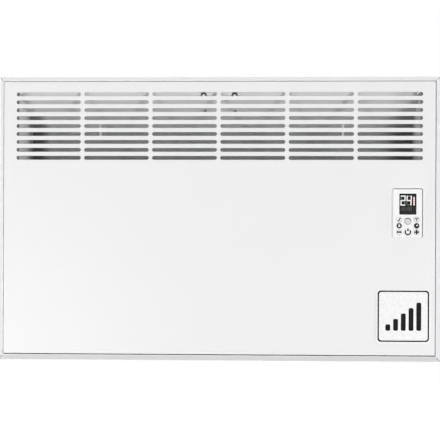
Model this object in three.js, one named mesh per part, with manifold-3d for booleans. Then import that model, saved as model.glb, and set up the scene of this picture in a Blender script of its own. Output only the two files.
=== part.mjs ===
// A wall panel convector heater, in millimetres.
// X runs to the right, Y runs back towards the wall and Z runs up. The origin is on the wall, behind the
// middle of the heater, where the wall bracket's back face stands.
import * as THREE from "three";
import { mergeVertices } from "three/addons/utils/BufferGeometryUtils.js";
import Module from "manifold-3d";

const wasm = await Module();
wasm.setup();

// ---------------------------------------------------------------- driving dimensions

// The whole heater
const WIDTH = 700;
const HEIGHT = 450;
const CASE_DEPTH = 76; // face of the panel to the back of the casing
const WALL_GAP = 14; // back of the casing to the wall
const SHEET = 1; // pressed steel
const SEAT = 0.3; // gap between pieces that bear on each other

// The casing's bevelled rim and the dark reveal inside it
const RIM_WIDTH = 9.5;
const RIM_DEPTH = 12;
const RIM_SETBACK = 1.5;
const RIM_LIP = 8;
const REVEAL = 1.7;

// Front panel
const PANEL_RETURN = 10;
const EAR_DEPTH = 26;
const EAR_SCREW_INSET = 18; // face of the panel to the screw in the ear

// Outlet grille
const SLOT_ROWS = 9;
const SLOT_COLUMNS = 6;
const SLOT_LENGTH = 102.2;
const SLOT_HEIGHT = 6.2;
const SLOT_BAR = 6.3; // metal between two rows
const SLOT_DIVIDER = 5.1; // metal between two columns
const GRILLE_INSET = 16.4; // top edge of the panel to the first row

// Deflector and the heat shield that carries its slope on
const SHIELD_DEPTH = 65; // face of the panel to the heat shield
const SLOPE_TILT = 37.15; // degrees from level
const DEFLECTOR_FLANGE = 9.6; // upright flange behind the panel, above the slope
const DEFLECTOR_DROP = 32.4;
const SLOPE_LAP = 4; // how far the deflector laps the heat shield
const STAY_SPACING = 49.2;
const STAY_RADIUS = 2.6;
const STAY_HOLE = 4.8;
const STAY_DROP = 7.8; // start of the slope to the middle of the stays
const PILOT_RADIUS = 1.6;
const PILOT_DROP = 26.5;
const CLIP_PILOT_DROP = 36.8;

// End plates
const END_INSET = 34; // side of the casing to an end plate
const END_FLANGE = 14;
const BAY_WIDTH = 92; // side of the casing to the wall of the wiring bay
const BAY_TOP = 73; // top of the wiring bay over the middle of the heater

// Air inlet in the bottom
const INLET_ROWS = 3;
const INLET_LENGTH = 90;
const INLET_WIDTH = 6;
const INLET_PITCH = 12;
const INLET_DEPTH = 32; // face of the panel to the first row

// Stiffening beads pressed into the back
const BEAD_LENGTH = 330;
const BEAD_HEIGHT = 9;
const BEAD_RISE = 2.5;
const BEAD_SPREAD = 62; // middle of the heater to the first bead
const BEAD_PITCH = 46;

// Wall bracket
const BRACKET_SHEET = 1.5;
const RAIL_SPREAD = 201; // middle of the heater to each rail
const RAIL_WIDTH = 30;
const RAIL_TOP = 165;
const RAIL_BOTTOM = 160;
const BAR_HEIGHT = 50;
const BAR_LIP = 6;
const HOOK_THICKNESS = 3;
const HOOK_SEAT_HEIGHT = 146; // where the casing rests on the hook
const HOOK_TONGUE = 12;
const HOOK_LIP = 10;
const HOOK_NOSE = 2.5;
const HOOK_SIDE_PLAY = 1.5;
const LIFT = 12; // how far the heater lifts to clear the hooks
const SIDE_FLANGE_TOP = 128;

// Lock screw and the tongue that it grips
const TONGUE_LENGTH = 28;
const TONGUE_REACH = 12;
const LOCK_HEIGHT = 140; // below the middle of the heater
const LOCK_RADIUS = 1.95;
const LOCK_HEAD_RADIUS = 4;
const LOCK_HEAD = 2.6;
const LOCK_PLAY = 0.25;

// Wall bumper
const BUMPER_RADIUS = 7;
const BUMPER_STEM = 2.7;
const BUMPER_BARB = 4;
const BUMPER_INSET = 15; // side of the casing to the bumper
const BUMPER_HEIGHT = 20; // bottom of the casing to the bumper

// Sheet-metal screw
const SCREW_RADIUS = 1.8;
const SCREW_HEAD_RADIUS = 3.4;
const SCREW_HEAD = 2;
const SCREW_LENGTH = 8;
const SCREW_HOLE = 2.1;
const SCREW_INSET = 75; // top or bottom of the casing to the screws in the back
const DRIVER_HOLE = 4.5;

// Shield clip: a gusset in the corner under the slope, with a shank that snaps through the shield
const CLIP_WIDTH = 4;
const CLIP_RISE = 5; // how far its upright edge stands in front of the shield
const CLIP_BOTTOM = 20; // its foot, below the fold of the shield
const CLIP_SHANK_WIDTH = 3;
const CLIP_SHANK_HEIGHT = 6;
const CLIP_BARB_WIDTH = 5;
const CLIP_BARB = 1.6;

// Heating element
const ELEMENT_DEPTH = 33; // face of the panel to the middle of the element
const ELEMENT_HEIGHT = 105; // bottom of the casing to the middle of the element
const CORE_RADIUS = 7;
const FIN_REACH = 28;
const FIN_THICKNESS = 1.8;
const FIN_TILT = 62; // degrees from level
const FIN_GAP = 20; // bare core between the fins and each bush
const BUSH_WALL = 3;
const BUSH_COLLAR = 3;
const BUSH_THICKNESS = 3;
const INSULATOR_LENGTH = 8;
const INSULATOR_COLLAR = 3;
const PIN_RADIUS = 1.5;
const PIN_OFFSET = 3.6;
const PIN_LENGTH = 13;
const CRADLE_WIDTH = 20;
const CRADLE_UPRIGHT = 46;
const CRADLE_TIP = 7;

// Thermal cut-out in the wall of the wiring bay
const CUTOUT_SHARE = 0.675; // share of the way from the element up to the controller's housing
const CUTOUT_RADIUS = 6;
const CUTOUT_FLANGE = 9;
const CUTOUT_FLANGE_THICKNESS = 1.6;
const CUTOUT_HOT_LENGTH = 8;
const CUTOUT_COLD_LENGTH = 9;
const BLADE_LENGTH = 8;
const BLADE_WIDTH = 5;
const BLADE_THICKNESS = 0.8;
const BLADE_OFFSET = 3.4;

// Controller
const CONTROL_INSET = 43; // edge of the panel to the middle of the controller
const CONTROL_HEIGHT = 8.1; // over the middle of the heater
const BEZEL_WIDTH = 47.5;
const BEZEL_HEIGHT = 78;
const BEZEL_CORNER = 3.5;
const BEZEL_PROUD = 2.2;
const BEZEL_OVERLAP = 1.9; // how far the bezel laps the panel
const BEZEL_WALL = 1.6;
const BEZEL_SKIRT = 14; // how far the bezel reaches behind the panel's face
const WINDOW_WIDTH = 26.6;
const WINDOW_HEIGHT = 32.8;
const WINDOW_CORNER = 1.2;
const WINDOW_RISE = 14; // middle of the bezel to the middle of the window
const LENS_THICKNESS = 1.5;
const LENS_SETBACK = 0.2;
const MODULE_MARGIN = 1.8;
const MODULE_DEPTH = 5;
const BOARD_THICKNESS = 1.6;
const SWITCH_SIZE = 6;
const SWITCH_DEPTH = 3.1;
const HOUSING_WALL = 1.8;
const HOUSING_DEPTH = 34;
const POWER_BOARD_DEPTH = 21;
const RELAY_WIDTH = 19;
const RELAY_HEIGHT = 15;
const RELAY_DEPTH = 8;

// Keys
const KEY_RADIUS = 4.2;
const SELECT_RADIUS = 5.3;
const POWER_RADIUS = 5.5;
const KEY_PROUD = 0.8;
const KEY_TRAVEL = 0.6;
const KEY_RIM = 0.5;
const KEY_RIM_THICKNESS = 0.8;
const KEY_STEM = 1.5;
const KEY_COLUMN = 13.5; // middle of the bezel to a side column
const KEY_PITCH = 9.75;
const KEY_TOP_DROP = 10.1; // middle of the bezel to the top row
const SELECT_DROP = 12.7;
const POWER_DROP = 29.2;

// Sticker
const LABEL_SIZE = 85.5;
const LABEL_CORNER = 7;
const LABEL_THICKNESS = 0.4;
const LABEL_SIDE = 49.5; // edge of the panel to the middle of the sticker
const LABEL_RISE = 60; // bottom of the panel to the middle of the sticker

// Wiring bay
const BLOCK_WIDTH = 44;
const BLOCK_DEPTH = 17;
const BLOCK_HEIGHT = 20;
const BLOCK_RISE = 98; // bottom of the casing to the middle of the terminal block
const BLOCK_SIDE = 48; // side of the casing to the middle of the terminal block
const POLE_PITCH = 12;
const POLE_RADIUS = 4;
const GLAND_BORE = 4.5;
const GLAND_WALL = 3;
const GLAND_FLANGE = 4;
const GLAND_FLANGE_THICKNESS = 3;
const GLAND_REACH = 12;
const GLAND_NOSE = 6;
const GLAND_RISE = 34; // bottom of the casing to the gland
const GLAND_SIDE = 60;
const NUT_MARGIN = 4;
const NUT_THICKNESS = 5;
const EARTH_RADIUS = 2;
const EARTH_HEAD_RADIUS = 4.5;
const EARTH_HEAD = 3;
const EARTH_SIDE = 20;
const EARTH_RISE = 115;
const LEAD_RADIUS = 1.5;
const SENSOR_LEAD_RADIUS = 1;
const LONG_STUB = 12; // straight length of a lead where it leaves the housing or the terminals
const SHORT_STUB = 7;
const PROBE_RADIUS = 2.5;
const PROBE_LENGTH = 18;
const PROBE_RISE = 11;
const PROBE_SIDE = 21;
const PROBE_DEPTH = 30;
const SENSOR_CLIP_WIDTH = 10;
const SENSOR_CLIP_LENGTH = 6;

// Roundness
const ROUND_SIDES = 20;
const SMALL_SIDES = 12;
const LEAD_SIDES = 8;
const LEAD_STEPS = 12;
const SLOT_END_STEPS = 2;

// ---------------------------------------------------------------- places worked out from them

const BACK = -WALL_GAP;
const FRONT = BACK - CASE_DEPTH;
const BACK_INSIDE = BACK - SHEET;
const CASE_SIDE = WIDTH / 2;
const CASE_TOP = HEIGHT / 2;
const CASE_BOTTOM = -CASE_TOP;
const PANEL_SIDE = CASE_SIDE - RIM_WIDTH - REVEAL;
const PANEL_TOP = CASE_TOP - RIM_WIDTH - REVEAL;
const PANEL_INSIDE = FRONT + SHEET;
const END_X = CASE_SIDE - END_INSET;
const BAY_X = CASE_SIDE - BAY_WIDTH;
const PLATE_TOP = PANEL_TOP - SHEET - SEAT;
const PLATE_FRONT = PANEL_INSIDE + SEAT;
const PLATE_BACK = BACK_INSIDE - SEAT;
const SLOPE_FRONT = FRONT + SHEET + SEAT;
const SLOPE_RATE = 1 / Math.tan(THREE.MathUtils.degToRad(SLOPE_TILT)); // back for each millimetre down
const SLOPE_TOP = PLATE_TOP - DEFLECTOR_FLANGE;
const SHIELD_Y = FRONT + SHIELD_DEPTH;
const ELEMENT_Y = FRONT + ELEMENT_DEPTH;
const ELEMENT_Z = CASE_BOTTOM + ELEMENT_HEIGHT;
const CONTROL_X = PANEL_SIDE - CONTROL_INSET;
const CONTROL_Z = CONTROL_HEIGHT;
const BEZEL_BACK = FRONT - SEAT;
const BEZEL_FRONT = FRONT - BEZEL_PROUD;
const SKIRT_WIDTH = BEZEL_WIDTH - 2 * BEZEL_OVERLAP;
const SKIRT_HEIGHT = BEZEL_HEIGHT - 2 * BEZEL_OVERLAP;
const HOUSING_WIDTH = SKIRT_WIDTH + 2 * (SEAT + HOUSING_WALL);
const HOUSING_HEIGHT = SKIRT_HEIGHT + 2 * (SEAT + HOUSING_WALL);
const HOUSING_BACK = FRONT + HOUSING_DEPTH;
const HOUSING_BOTTOM = CONTROL_Z - HOUSING_HEIGHT / 2;
const MODULE_FRONT = BEZEL_BACK + SEAT;
const BOARD_FRONT = MODULE_FRONT + MODULE_DEPTH + SEAT;
const HOOK_NOSE_FRONT = BACK_INSIDE - SEAT - HOOK_NOSE;
const RAIL_FLANGE_FRONT = BACK + SEAT;
const TONGUE_X = RAIL_SPREAD + RAIL_WIDTH / 2 + SEAT;
const CUTOUT_Z = THREE.MathUtils.lerp(ELEMENT_Z, HOUSING_BOTTOM, CUTOUT_SHARE);
const BLOCK_X = CASE_SIDE - BLOCK_SIDE;
const BLOCK_Z = CASE_BOTTOM + BLOCK_RISE;
const GLAND_X = CASE_SIDE - GLAND_SIDE;
const GLAND_Z = CASE_BOTTOM + GLAND_RISE;
const EARTH_X = CASE_SIDE - EARTH_SIDE;
const EARTH_Z = CASE_BOTTOM + EARTH_RISE;
const PROBE_X = CASE_SIDE - PROBE_SIDE;
const PROBE_Y = FRONT + PROBE_DEPTH;
const PROBE_Z = CASE_BOTTOM + SHEET + PROBE_RISE;

// ---------------------------------------------------------------- solids

// A closed three.js geometry as a solid that can be joined and cut.
function solidOf(geometry) {
  const bare = geometry.clone();
  bare.deleteAttribute("normal");
  bare.deleteAttribute("uv");
  const merged = mergeVertices(bare, 1e-4);
  return new wasm.Manifold(
    new wasm.Mesh({
      numProp: 3,
      vertProperties: new Float32Array(merged.attributes.position.array),
      triVerts: new Uint32Array(merged.index.array),
    }),
  );
}

// A solid's surface as a three.js geometry with flat shading.
function geometryOf(solid) {
  const mesh = solid.getMesh();
  const geometry = new THREE.BufferGeometry();
  geometry.setAttribute("position", new THREE.BufferAttribute(mesh.vertProperties, mesh.numProp));
  geometry.setIndex(new THREE.BufferAttribute(mesh.triVerts, 1));
  const flat = geometry.toNonIndexed();
  flat.computeVertexNormals();
  return flat;
}

const joined = (solids) => solids.reduce((all, next) => all.add(next));
const without = (solid, cutters) => cutters.reduce((left, cutter) => left.subtract(cutter), solid);

// A block between two limits on each axis.
function block([x0, x1], [y0, y1], [z0, z1]) {
  const geometry = new THREE.BoxGeometry(x1 - x0, y1 - y0, z1 - z0);
  geometry.translate((x0 + x1) / 2, (y0 + y1) / 2, (z0 + z1) / 2);
  return solidOf(geometry);
}

const spanAt = (middle, size) => [middle - size / 2, middle + size / 2];

// A round bar along X, Y or Z between two limits; the place gives its other two coordinates in that order.
function bar(axis, radius, [from, to], [a, b], sides = SMALL_SIDES) {
  const geometry = new THREE.CylinderGeometry(radius, radius, to - from, sides);
  const middle = (from + to) / 2;
  if (axis === "x") geometry.rotateZ(-Math.PI / 2).translate(middle, a, b);
  if (axis === "y") geometry.translate(a, middle, b);
  if (axis === "z") geometry.rotateX(Math.PI / 2).translate(a, b, middle);
  return solidOf(geometry);
}

// An outline drawn as (x, z), as seen from the front, made solid between two depths.
function frontPlate(outline, [front, back], curveSegments = SLOT_END_STEPS) {
  const geometry = new THREE.ExtrudeGeometry(outline, {
    depth: back - front,
    bevelEnabled: false,
    curveSegments,
  });
  return solidOf(geometry.rotateX(Math.PI / 2).translate(0, back, 0));
}

// An outline drawn as (y, z), as seen from the side, made solid between two limits on X.
function sidePlate(outline, [left, right], curveSegments = SLOT_END_STEPS) {
  const geometry = new THREE.ExtrudeGeometry(outline, {
    depth: right - left,
    bevelEnabled: false,
    curveSegments,
  });
  const turn = new THREE.Matrix4().makeBasis(
    new THREE.Vector3(0, 1, 0),
    new THREE.Vector3(0, 0, 1),
    new THREE.Vector3(1, 0, 0),
  );
  return solidOf(geometry.applyMatrix4(turn).translate(left, 0, 0));
}

// An outline drawn as (x, y), as seen from below, made solid between two heights.
function topPlate(outline, [bottom, top]) {
  const geometry = new THREE.ExtrudeGeometry(outline, {
    depth: top - bottom,
    bevelEnabled: false,
    curveSegments: SLOT_END_STEPS,
  });
  return solidOf(geometry.translate(0, 0, bottom));
}

// The section of a folded sheet: its bends along one face, and the same bends across the thickness.
function foldedSheet(bends, thickness = SHEET) {
  const near = bends.map(([a, b]) => new THREE.Vector2(a, b));
  const across = (from, to) => new THREE.Vector2(from.y - to.y, to.x - from.x).normalize();
  const far = near.map((point, i) => {
    const before = across(near[Math.max(i - 1, 0)], near[Math.max(i, 1)]);
    const after = across(near[Math.min(i, near.length - 2)], near[Math.min(i + 1, near.length - 1)]);
    const mitre = before.add(after);
    return point.clone().addScaledVector(mitre, (2 * thickness) / mitre.lengthSq());
  });
  return new THREE.Shape([...near, ...far.reverse()]);
}

// A rectangle with round corners about a middle point.
function roundRectangle(width, height, corner, [x, z] = [0, 0]) {
  const [left, right] = spanAt(x, width);
  const [low, high] = spanAt(z, height);
  const shape = new THREE.Shape();
  shape.absarc(right - corner, low + corner, corner, -Math.PI / 2, 0);
  shape.absarc(right - corner, high - corner, corner, 0, Math.PI / 2);
  shape.absarc(left + corner, high - corner, corner, Math.PI / 2, Math.PI);
  shape.absarc(left + corner, low + corner, corner, Math.PI, (3 * Math.PI) / 2);
  return shape;
}

// A slot with round ends, along X.
function slotOutline(length, height, [x, z]) {
  const radius = height / 2;
  const reach = length / 2 - radius;
  const shape = new THREE.Shape();
  shape.absarc(x + reach, z, radius, -Math.PI / 2, Math.PI / 2);
  shape.absarc(x - reach, z, radius, Math.PI / 2, (3 * Math.PI) / 2);
  return shape;
}

// A block whose front edges draw in by the same amount on every side.
function taperedBlock(side, top, [front, back], drawIn) {
  const geometry = new THREE.BoxGeometry(2 * side, back - front, 2 * top);
  const place = geometry.attributes.position;
  for (let i = 0; i < place.count; i++) {
    if (place.getY(i) > 0) continue;
    place.setX(i, Math.sign(place.getX(i)) * (side - drawIn));
    place.setZ(i, Math.sign(place.getZ(i)) * (top - drawIn));
  }
  return solidOf(geometry.translate(0, (front + back) / 2, 0));
}

// A ring of wall, open in front and behind, whose outside has the given half sizes.
function wallRing(side, top, [front, back], thickness = SHEET) {
  const outside = block([-side, side], [front, back], [-top, top]);
  const innerSide = side - thickness;
  const innerTop = top - thickness;
  return outside.subtract(block([-innerSide, innerSide], [front - 1, back + 1], [-innerTop, innerTop]));
}

// ---------------------------------------------------------------- finishes

const PAINT = { color: 0xf4f5f5, roughness: 0.42, metalness: 0 };
const ZINC = { color: 0xb9bcbe, roughness: 0.38, metalness: 0.85 };
const ALUMINIUM = { color: 0xc9ccce, roughness: 0.33, metalness: 0.9 };
const STEEL = { color: 0xa9acae, roughness: 0.3, metalness: 0.95 };
const BRASS = { color: 0xc9a24b, roughness: 0.3, metalness: 0.95 };
const WHITE_PLASTIC = { color: 0xf2f2f0, roughness: 0.5, metalness: 0 };
const GREY_PLASTIC = { color: 0x7b7f83, roughness: 0.55, metalness: 0 };
const BLACK_PLASTIC = { color: 0x1b1c1e, roughness: 0.5, metalness: 0 };
const RUBBER = { color: 0x2b2c2e, roughness: 0.85, metalness: 0 };
const SILICONE = { color: 0xd9d4c9, roughness: 0.6, metalness: 0 };
const CERAMIC = { color: 0xefe9dc, roughness: 0.35, metalness: 0 };
const SMOKED_GLASS = { color: 0x2a2b30, roughness: 0.08, metalness: 0 };
const BOARD_GREEN = { color: 0x1f5a3a, roughness: 0.5, metalness: 0 };
const RELAY_BLUE = { color: 0x2c63a8, roughness: 0.45, metalness: 0 };
const STICKER = { color: 0xf7f7f7, roughness: 0.45, metalness: 0 };
const BROWN_WIRE = { color: 0x6b3a1e, roughness: 0.6, metalness: 0 };
const BLUE_WIRE = { color: 0x2f63b5, roughness: 0.6, metalness: 0 };
const WHITE_WIRE = { color: 0xe6e3dc, roughness: 0.6, metalness: 0 };
const EARTH_WIRE = { color: 0x8fae2c, roughness: 0.6, metalness: 0 };

const heater = new THREE.Group();

// Adds one piece to the heater.
function addPiece(name, solid, finish) {
  const piece = new THREE.Mesh(geometryOf(solid), new THREE.MeshStandardMaterial(finish));
  piece.name = name;
  heater.add(piece);
}

const SIDES = [
  ["left", -1],
  ["right", 1],
];

// Limits on X that are mirrored on the left side.
const mirrored = (side, [a, b]) => (side > 0 ? [a, b] : [-b, -a]);

// ---------------------------------------------------------------- casing and panel

// The middle of the flange that an end plate with its outer face at x turns outwards.
const flangeMiddle = (x) => x - SHEET + END_FLANGE / 2;

// Where the two plate screws of each side enter the back.
const plateScrewPlaces = [
  [-flangeMiddle(END_X), CASE_TOP - SCREW_INSET],
  [-flangeMiddle(END_X), CASE_BOTTOM + SCREW_INSET],
  [flangeMiddle(END_X), CASE_TOP - SCREW_INSET],
  [flangeMiddle(BAY_X), CASE_BOTTOM + SCREW_INSET],
];

// Where the panel is screwed up into the feet of the end plates.
const footScrewX = { left: -flangeMiddle(END_X), right: flangeMiddle(BAY_X) };
const FOOT_SCREW_Y = FRONT + EAR_SCREW_INSET;

const columnX = (column) => (column - (SLOT_COLUMNS - 1) / 2) * (SLOT_LENGTH + SLOT_DIVIDER);

// The open tub: walls, back and the bevelled rim with its lip.
function casingShell() {
  const shoulder = FRONT + RIM_SETBACK + RIM_DEPTH;
  const rimFront = FRONT + RIM_SETBACK;
  const drawIn = RIM_WIDTH - SHEET;
  const outside = block([-CASE_SIDE, CASE_SIDE], [shoulder, BACK], [-CASE_TOP, CASE_TOP]).add(
    taperedBlock(CASE_SIDE, CASE_TOP, [rimFront, shoulder], drawIn),
  );
  const side = CASE_SIDE - SHEET;
  const top = CASE_TOP - SHEET;
  const inside = block([-side, side], [shoulder, BACK_INSIDE], [-top, top]).add(
    taperedBlock(side, top, [rimFront, shoulder], drawIn),
  );
  const mouth = block(
    [drawIn - side, side - drawIn],
    [rimFront - 1, shoulder],
    [drawIn - top, top - drawIn],
  );
  const lip = wallRing(CASE_SIDE - drawIn, CASE_TOP - drawIn, [rimFront, rimFront + RIM_LIP]);
  return outside.subtract(inside).subtract(mouth).add(lip);
}

// The long air inlets in the casing's bottom.
function inletCutters() {
  const cutters = [];
  for (let row = 0; row < INLET_ROWS; row++) {
    const y = FRONT + INLET_DEPTH + row * INLET_PITCH;
    for (let column = 0; column < SLOT_COLUMNS; column++) {
      const outline = slotOutline(INLET_LENGTH, INLET_WIDTH, [columnX(column), y]);
      cutters.push(topPlate(outline, [CASE_BOTTOM - SHEET, CASE_BOTTOM + 2 * SHEET]));
    }
  }
  return cutters;
}

// The tongue beside a rail, with the notch that straddles the lock screw.
function lockTongue(side) {
  const low = -LOCK_HEIGHT - TONGUE_LENGTH / 3;
  const tongue = block(
    mirrored(side, [TONGUE_X, TONGUE_X + SHEET]),
    [BACK - SHEET / 2, BACK + TONGUE_REACH],
    [low, low + TONGUE_LENGTH],
  );
  const reach = mirrored(side, [TONGUE_X - 1, TONGUE_X + SHEET + 1]);
  const y = BACK + TONGUE_REACH / 2;
  const notch = block(reach, spanAt(y, 2 * (LOCK_RADIUS + LOCK_PLAY)), [low - 1, -LOCK_HEIGHT]);
  const crown = bar("x", LOCK_RADIUS + LOCK_PLAY, reach, [y, -LOCK_HEIGHT]);
  return without(tongue, [notch, crown]);
}

// A stiffening bead pressed out of the back.
function backBead(z) {
  const bead = slotOutline(BEAD_LENGTH, BEAD_HEIGHT, [0, z]);
  return frontPlate(bead, [BACK - SHEET / 2, BACK + BEAD_RISE]);
}

function rearCasing() {
  const beads = [-1, 1].flatMap((side) =>
    [0, 1, 2].map((step) => backBead(side * (BEAD_SPREAD + step * BEAD_PITCH))),
  );
  const tongues = SIDES.map(([, side]) => lockTongue(side));
  const shell = joined([casingShell(), ...beads, ...tongues]);
  const through = [BACK_INSIDE - 1, BACK + 1];
  const hookSlots = SIDES.map(([, side]) =>
    block(spanAt(side * RAIL_SPREAD, HOOK_THICKNESS + 2 * HOOK_SIDE_PLAY), through, [
      HOOK_SEAT_HEIGHT - HOOK_TONGUE - LIFT - SEAT,
      HOOK_SEAT_HEIGHT + SEAT,
    ]),
  );
  const bumperHoles = SIDES.map(([, side]) =>
    bar("y", BUMPER_STEM + SEAT, through, [side * (CASE_SIDE - BUMPER_INSET), CASE_BOTTOM + BUMPER_HEIGHT]),
  );
  const screwHoles = plateScrewPlaces.map((place) => bar("y", SCREW_HOLE, through, place, LEAD_SIDES));
  const driverHoles = Object.values(footScrewX).map((x) =>
    bar("z", DRIVER_HOLE, [CASE_BOTTOM - 1, CASE_BOTTOM + SHEET + 1], [x, FOOT_SCREW_Y]),
  );
  const glandHole = bar("y", GLAND_BORE + GLAND_WALL + SEAT, through, [GLAND_X, GLAND_Z], ROUND_SIDES);
  const earthHole = bar("y", EARTH_RADIUS + SEAT, through, [EARTH_X, EARTH_Z]);
  return without(shell, [
    ...inletCutters(),
    ...hookSlots,
    ...bumperHoles,
    ...screwHoles,
    ...driverHoles,
    glandHole,
    earthHole,
  ]);
}

// The long slots of the outlet grille, row by row.
function grilleCutters() {
  const cutters = [];
  const first = PANEL_TOP - GRILLE_INSET - SLOT_HEIGHT / 2;
  for (let row = 0; row < SLOT_ROWS; row++) {
    const z = first - row * (SLOT_HEIGHT + SLOT_BAR);
    for (let column = 0; column < SLOT_COLUMNS; column++) {
      const outline = slotOutline(SLOT_LENGTH, SLOT_HEIGHT, [columnX(column), z]);
      cutters.push(frontPlate(outline, [FRONT - 1, PANEL_INSIDE + 1]));
    }
  }
  return cutters;
}

function frontPanel() {
  const face = block([-PANEL_SIDE, PANEL_SIDE], [FRONT, PANEL_INSIDE], [-PANEL_TOP, PANEL_TOP]);
  const returns = wallRing(PANEL_SIDE, PANEL_TOP, [FRONT + SHEET / 2, FRONT + PANEL_RETURN]);
  const ears = Object.values(footScrewX).map((x) =>
    block(spanAt(x, END_FLANGE), [FRONT + SHEET / 2, FRONT + EAR_DEPTH], [-PANEL_TOP, SHEET - PANEL_TOP]),
  );
  const earHoles = Object.values(footScrewX).map((x) =>
    bar("z", SCREW_HOLE, [-PANEL_TOP - 1, SHEET - PANEL_TOP + 1], [x, FOOT_SCREW_Y], LEAD_SIDES),
  );
  const doorway = roundRectangle(
    SKIRT_WIDTH + 2 * SEAT,
    SKIRT_HEIGHT + 2 * SEAT,
    BEZEL_CORNER - BEZEL_OVERLAP + SEAT,
    [CONTROL_X, CONTROL_Z],
  );
  const controlHole = frontPlate(doorway, [FRONT - 1, PANEL_INSIDE + 1]);
  return without(joined([face, returns, ...ears]), [...grilleCutters(), ...earHoles, controlHole]);
}

// ---------------------------------------------------------------- inner sheet metal

// A flange that an end plate turns outwards, at its front or its back.
const plateFlange = (side, x, [front, back], heights) =>
  block(mirrored(side, [x, x + END_FLANGE]), [front, back], heights);

// The small foot that takes the panel screw, with its hole.
function plateFoot(side, x) {
  const low = SHEET + SEAT - PANEL_TOP;
  const depths = [PLATE_FRONT, FRONT + EAR_DEPTH];
  const foot = block(mirrored(side, [x, x + END_FLANGE]), depths, [low, low + SHEET]);
  const hole = bar("z", SCREW_HOLE, [low - 1, low + SHEET + 1], [side * (x + END_FLANGE / 2), FOOT_SCREW_Y]);
  return foot.subtract(hole);
}

// The hole in a rear flange for a plate screw.
const plateScrewHole = (place) =>
  bar("y", SCREW_HOLE, [PLATE_BACK - SHEET - 1, PLATE_BACK + 1], place, LEAD_SIDES);

function leftEndPlate() {
  const low = SHEET + SEAT - PANEL_TOP;
  const heights = [low, PLATE_TOP];
  const web = block([-END_X, SHEET - END_X], [PLATE_FRONT, PLATE_BACK], heights);
  const front = plateFlange(-1, END_X - SHEET, [PLATE_FRONT, PLATE_FRONT + SHEET], heights);
  const back = plateFlange(-1, END_X - SHEET, [PLATE_BACK - SHEET, PLATE_BACK], heights);
  const bushHole = bar("x", CORE_RADIUS + SEAT + BUSH_WALL + SEAT, [-END_X - 1, SHEET - END_X + 1], [
    ELEMENT_Y,
    ELEMENT_Z,
  ], ROUND_SIDES);
  const screwHoles = plateScrewPlaces.slice(0, 2).map(plateScrewHole);
  return without(joined([web, front, back, plateFoot(-1, END_X - SHEET)]), [bushHole, ...screwHoles]);
}

// The right plate steps inwards below the grille, which leaves a bay for the controller and the wiring.
function rightEndPlate() {
  const low = SHEET + SEAT - PANEL_TOP;
  const section = foldedSheet([
    [BAY_X - SHEET, low],
    [BAY_X - SHEET, BAY_TOP],
    [END_X - SHEET, BAY_TOP],
    [END_X - SHEET, PLATE_TOP],
  ], -SHEET);
  const web = frontPlate(section, [PLATE_FRONT, PLATE_BACK]);
  const upper = [BAY_TOP - SHEET / 2, PLATE_TOP];
  const lower = [low, BAY_TOP - SHEET / 2];
  const frontLimits = [PLATE_FRONT, PLATE_FRONT + SHEET];
  const backLimits = [PLATE_BACK - SHEET, PLATE_BACK];
  const flanges = [
    plateFlange(1, END_X - SHEET, frontLimits, upper),
    plateFlange(1, END_X - SHEET, backLimits, upper),
    plateFlange(1, BAY_X - SHEET, backLimits, lower),
    plateFoot(1, BAY_X - SHEET),
  ];
  const wall = [BAY_X - 2 * SHEET, BAY_X + SHEET];
  const holes = [
    bar("x", CORE_RADIUS + SEAT + BUSH_WALL + SEAT, wall, [ELEMENT_Y, ELEMENT_Z], ROUND_SIDES),
    bar("x", CUTOUT_RADIUS + SEAT, wall, [ELEMENT_Y, CUTOUT_Z], ROUND_SIDES),
    ...plateScrewPlaces.slice(2).map(plateScrewHole),
  ];
  return without(joined([web, ...flanges]), holes);
}

const INNER_HALF = END_X - SHEET - SEAT;

// Where the slope's lower face stands at a height, moved back across the sheet by an offset.
const SLOPE_STRETCH = Math.hypot(1, SLOPE_RATE);
const slopeY = (z, offset = 0) =>
  SLOPE_FRONT + (SLOPE_TOP - z) * SLOPE_RATE + offset * SLOPE_STRETCH;
const UNDER_DEFLECTOR = SHEET + SEAT;
const FOLD_Z = SLOPE_TOP - (SHIELD_Y - slopeY(SLOPE_TOP, UNDER_DEFLECTOR)) / SLOPE_RATE;
const SHANK_TOP = FOLD_Z - SHEET;

// The white sheet behind the upper slots: an upright flange close behind the panel, then the slope.
function deflector() {
  const bottom = SLOPE_TOP - DEFLECTOR_DROP;
  const section = foldedSheet([
    [SLOPE_FRONT, PLATE_TOP],
    [SLOPE_FRONT, SLOPE_TOP],
    [slopeY(bottom), bottom],
  ]);
  const sheet = sidePlate(section, [-INNER_HALF, INNER_HALF]);
  const holes = [];
  for (const [, side] of SIDES) {
    const x = (side * STAY_SPACING) / 2;
    holes.push(bar("y", STAY_HOLE, [FRONT, SHIELD_Y], [x, SLOPE_TOP - STAY_DROP]));
    holes.push(bar("y", PILOT_RADIUS, [FRONT, SHIELD_Y], [x, SLOPE_TOP - PILOT_DROP], LEAD_SIDES));
  }
  return without(sheet, holes);
}

// A post from the back of the casing whose round end shows in the deflector's hole.
function deflectorStay(side) {
  const z = SLOPE_TOP - STAY_DROP;
  return bar("y", STAY_RADIUS, [slopeY(z), BACK_INSIDE - SEAT], [(side * STAY_SPACING) / 2, z]);
}

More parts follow.
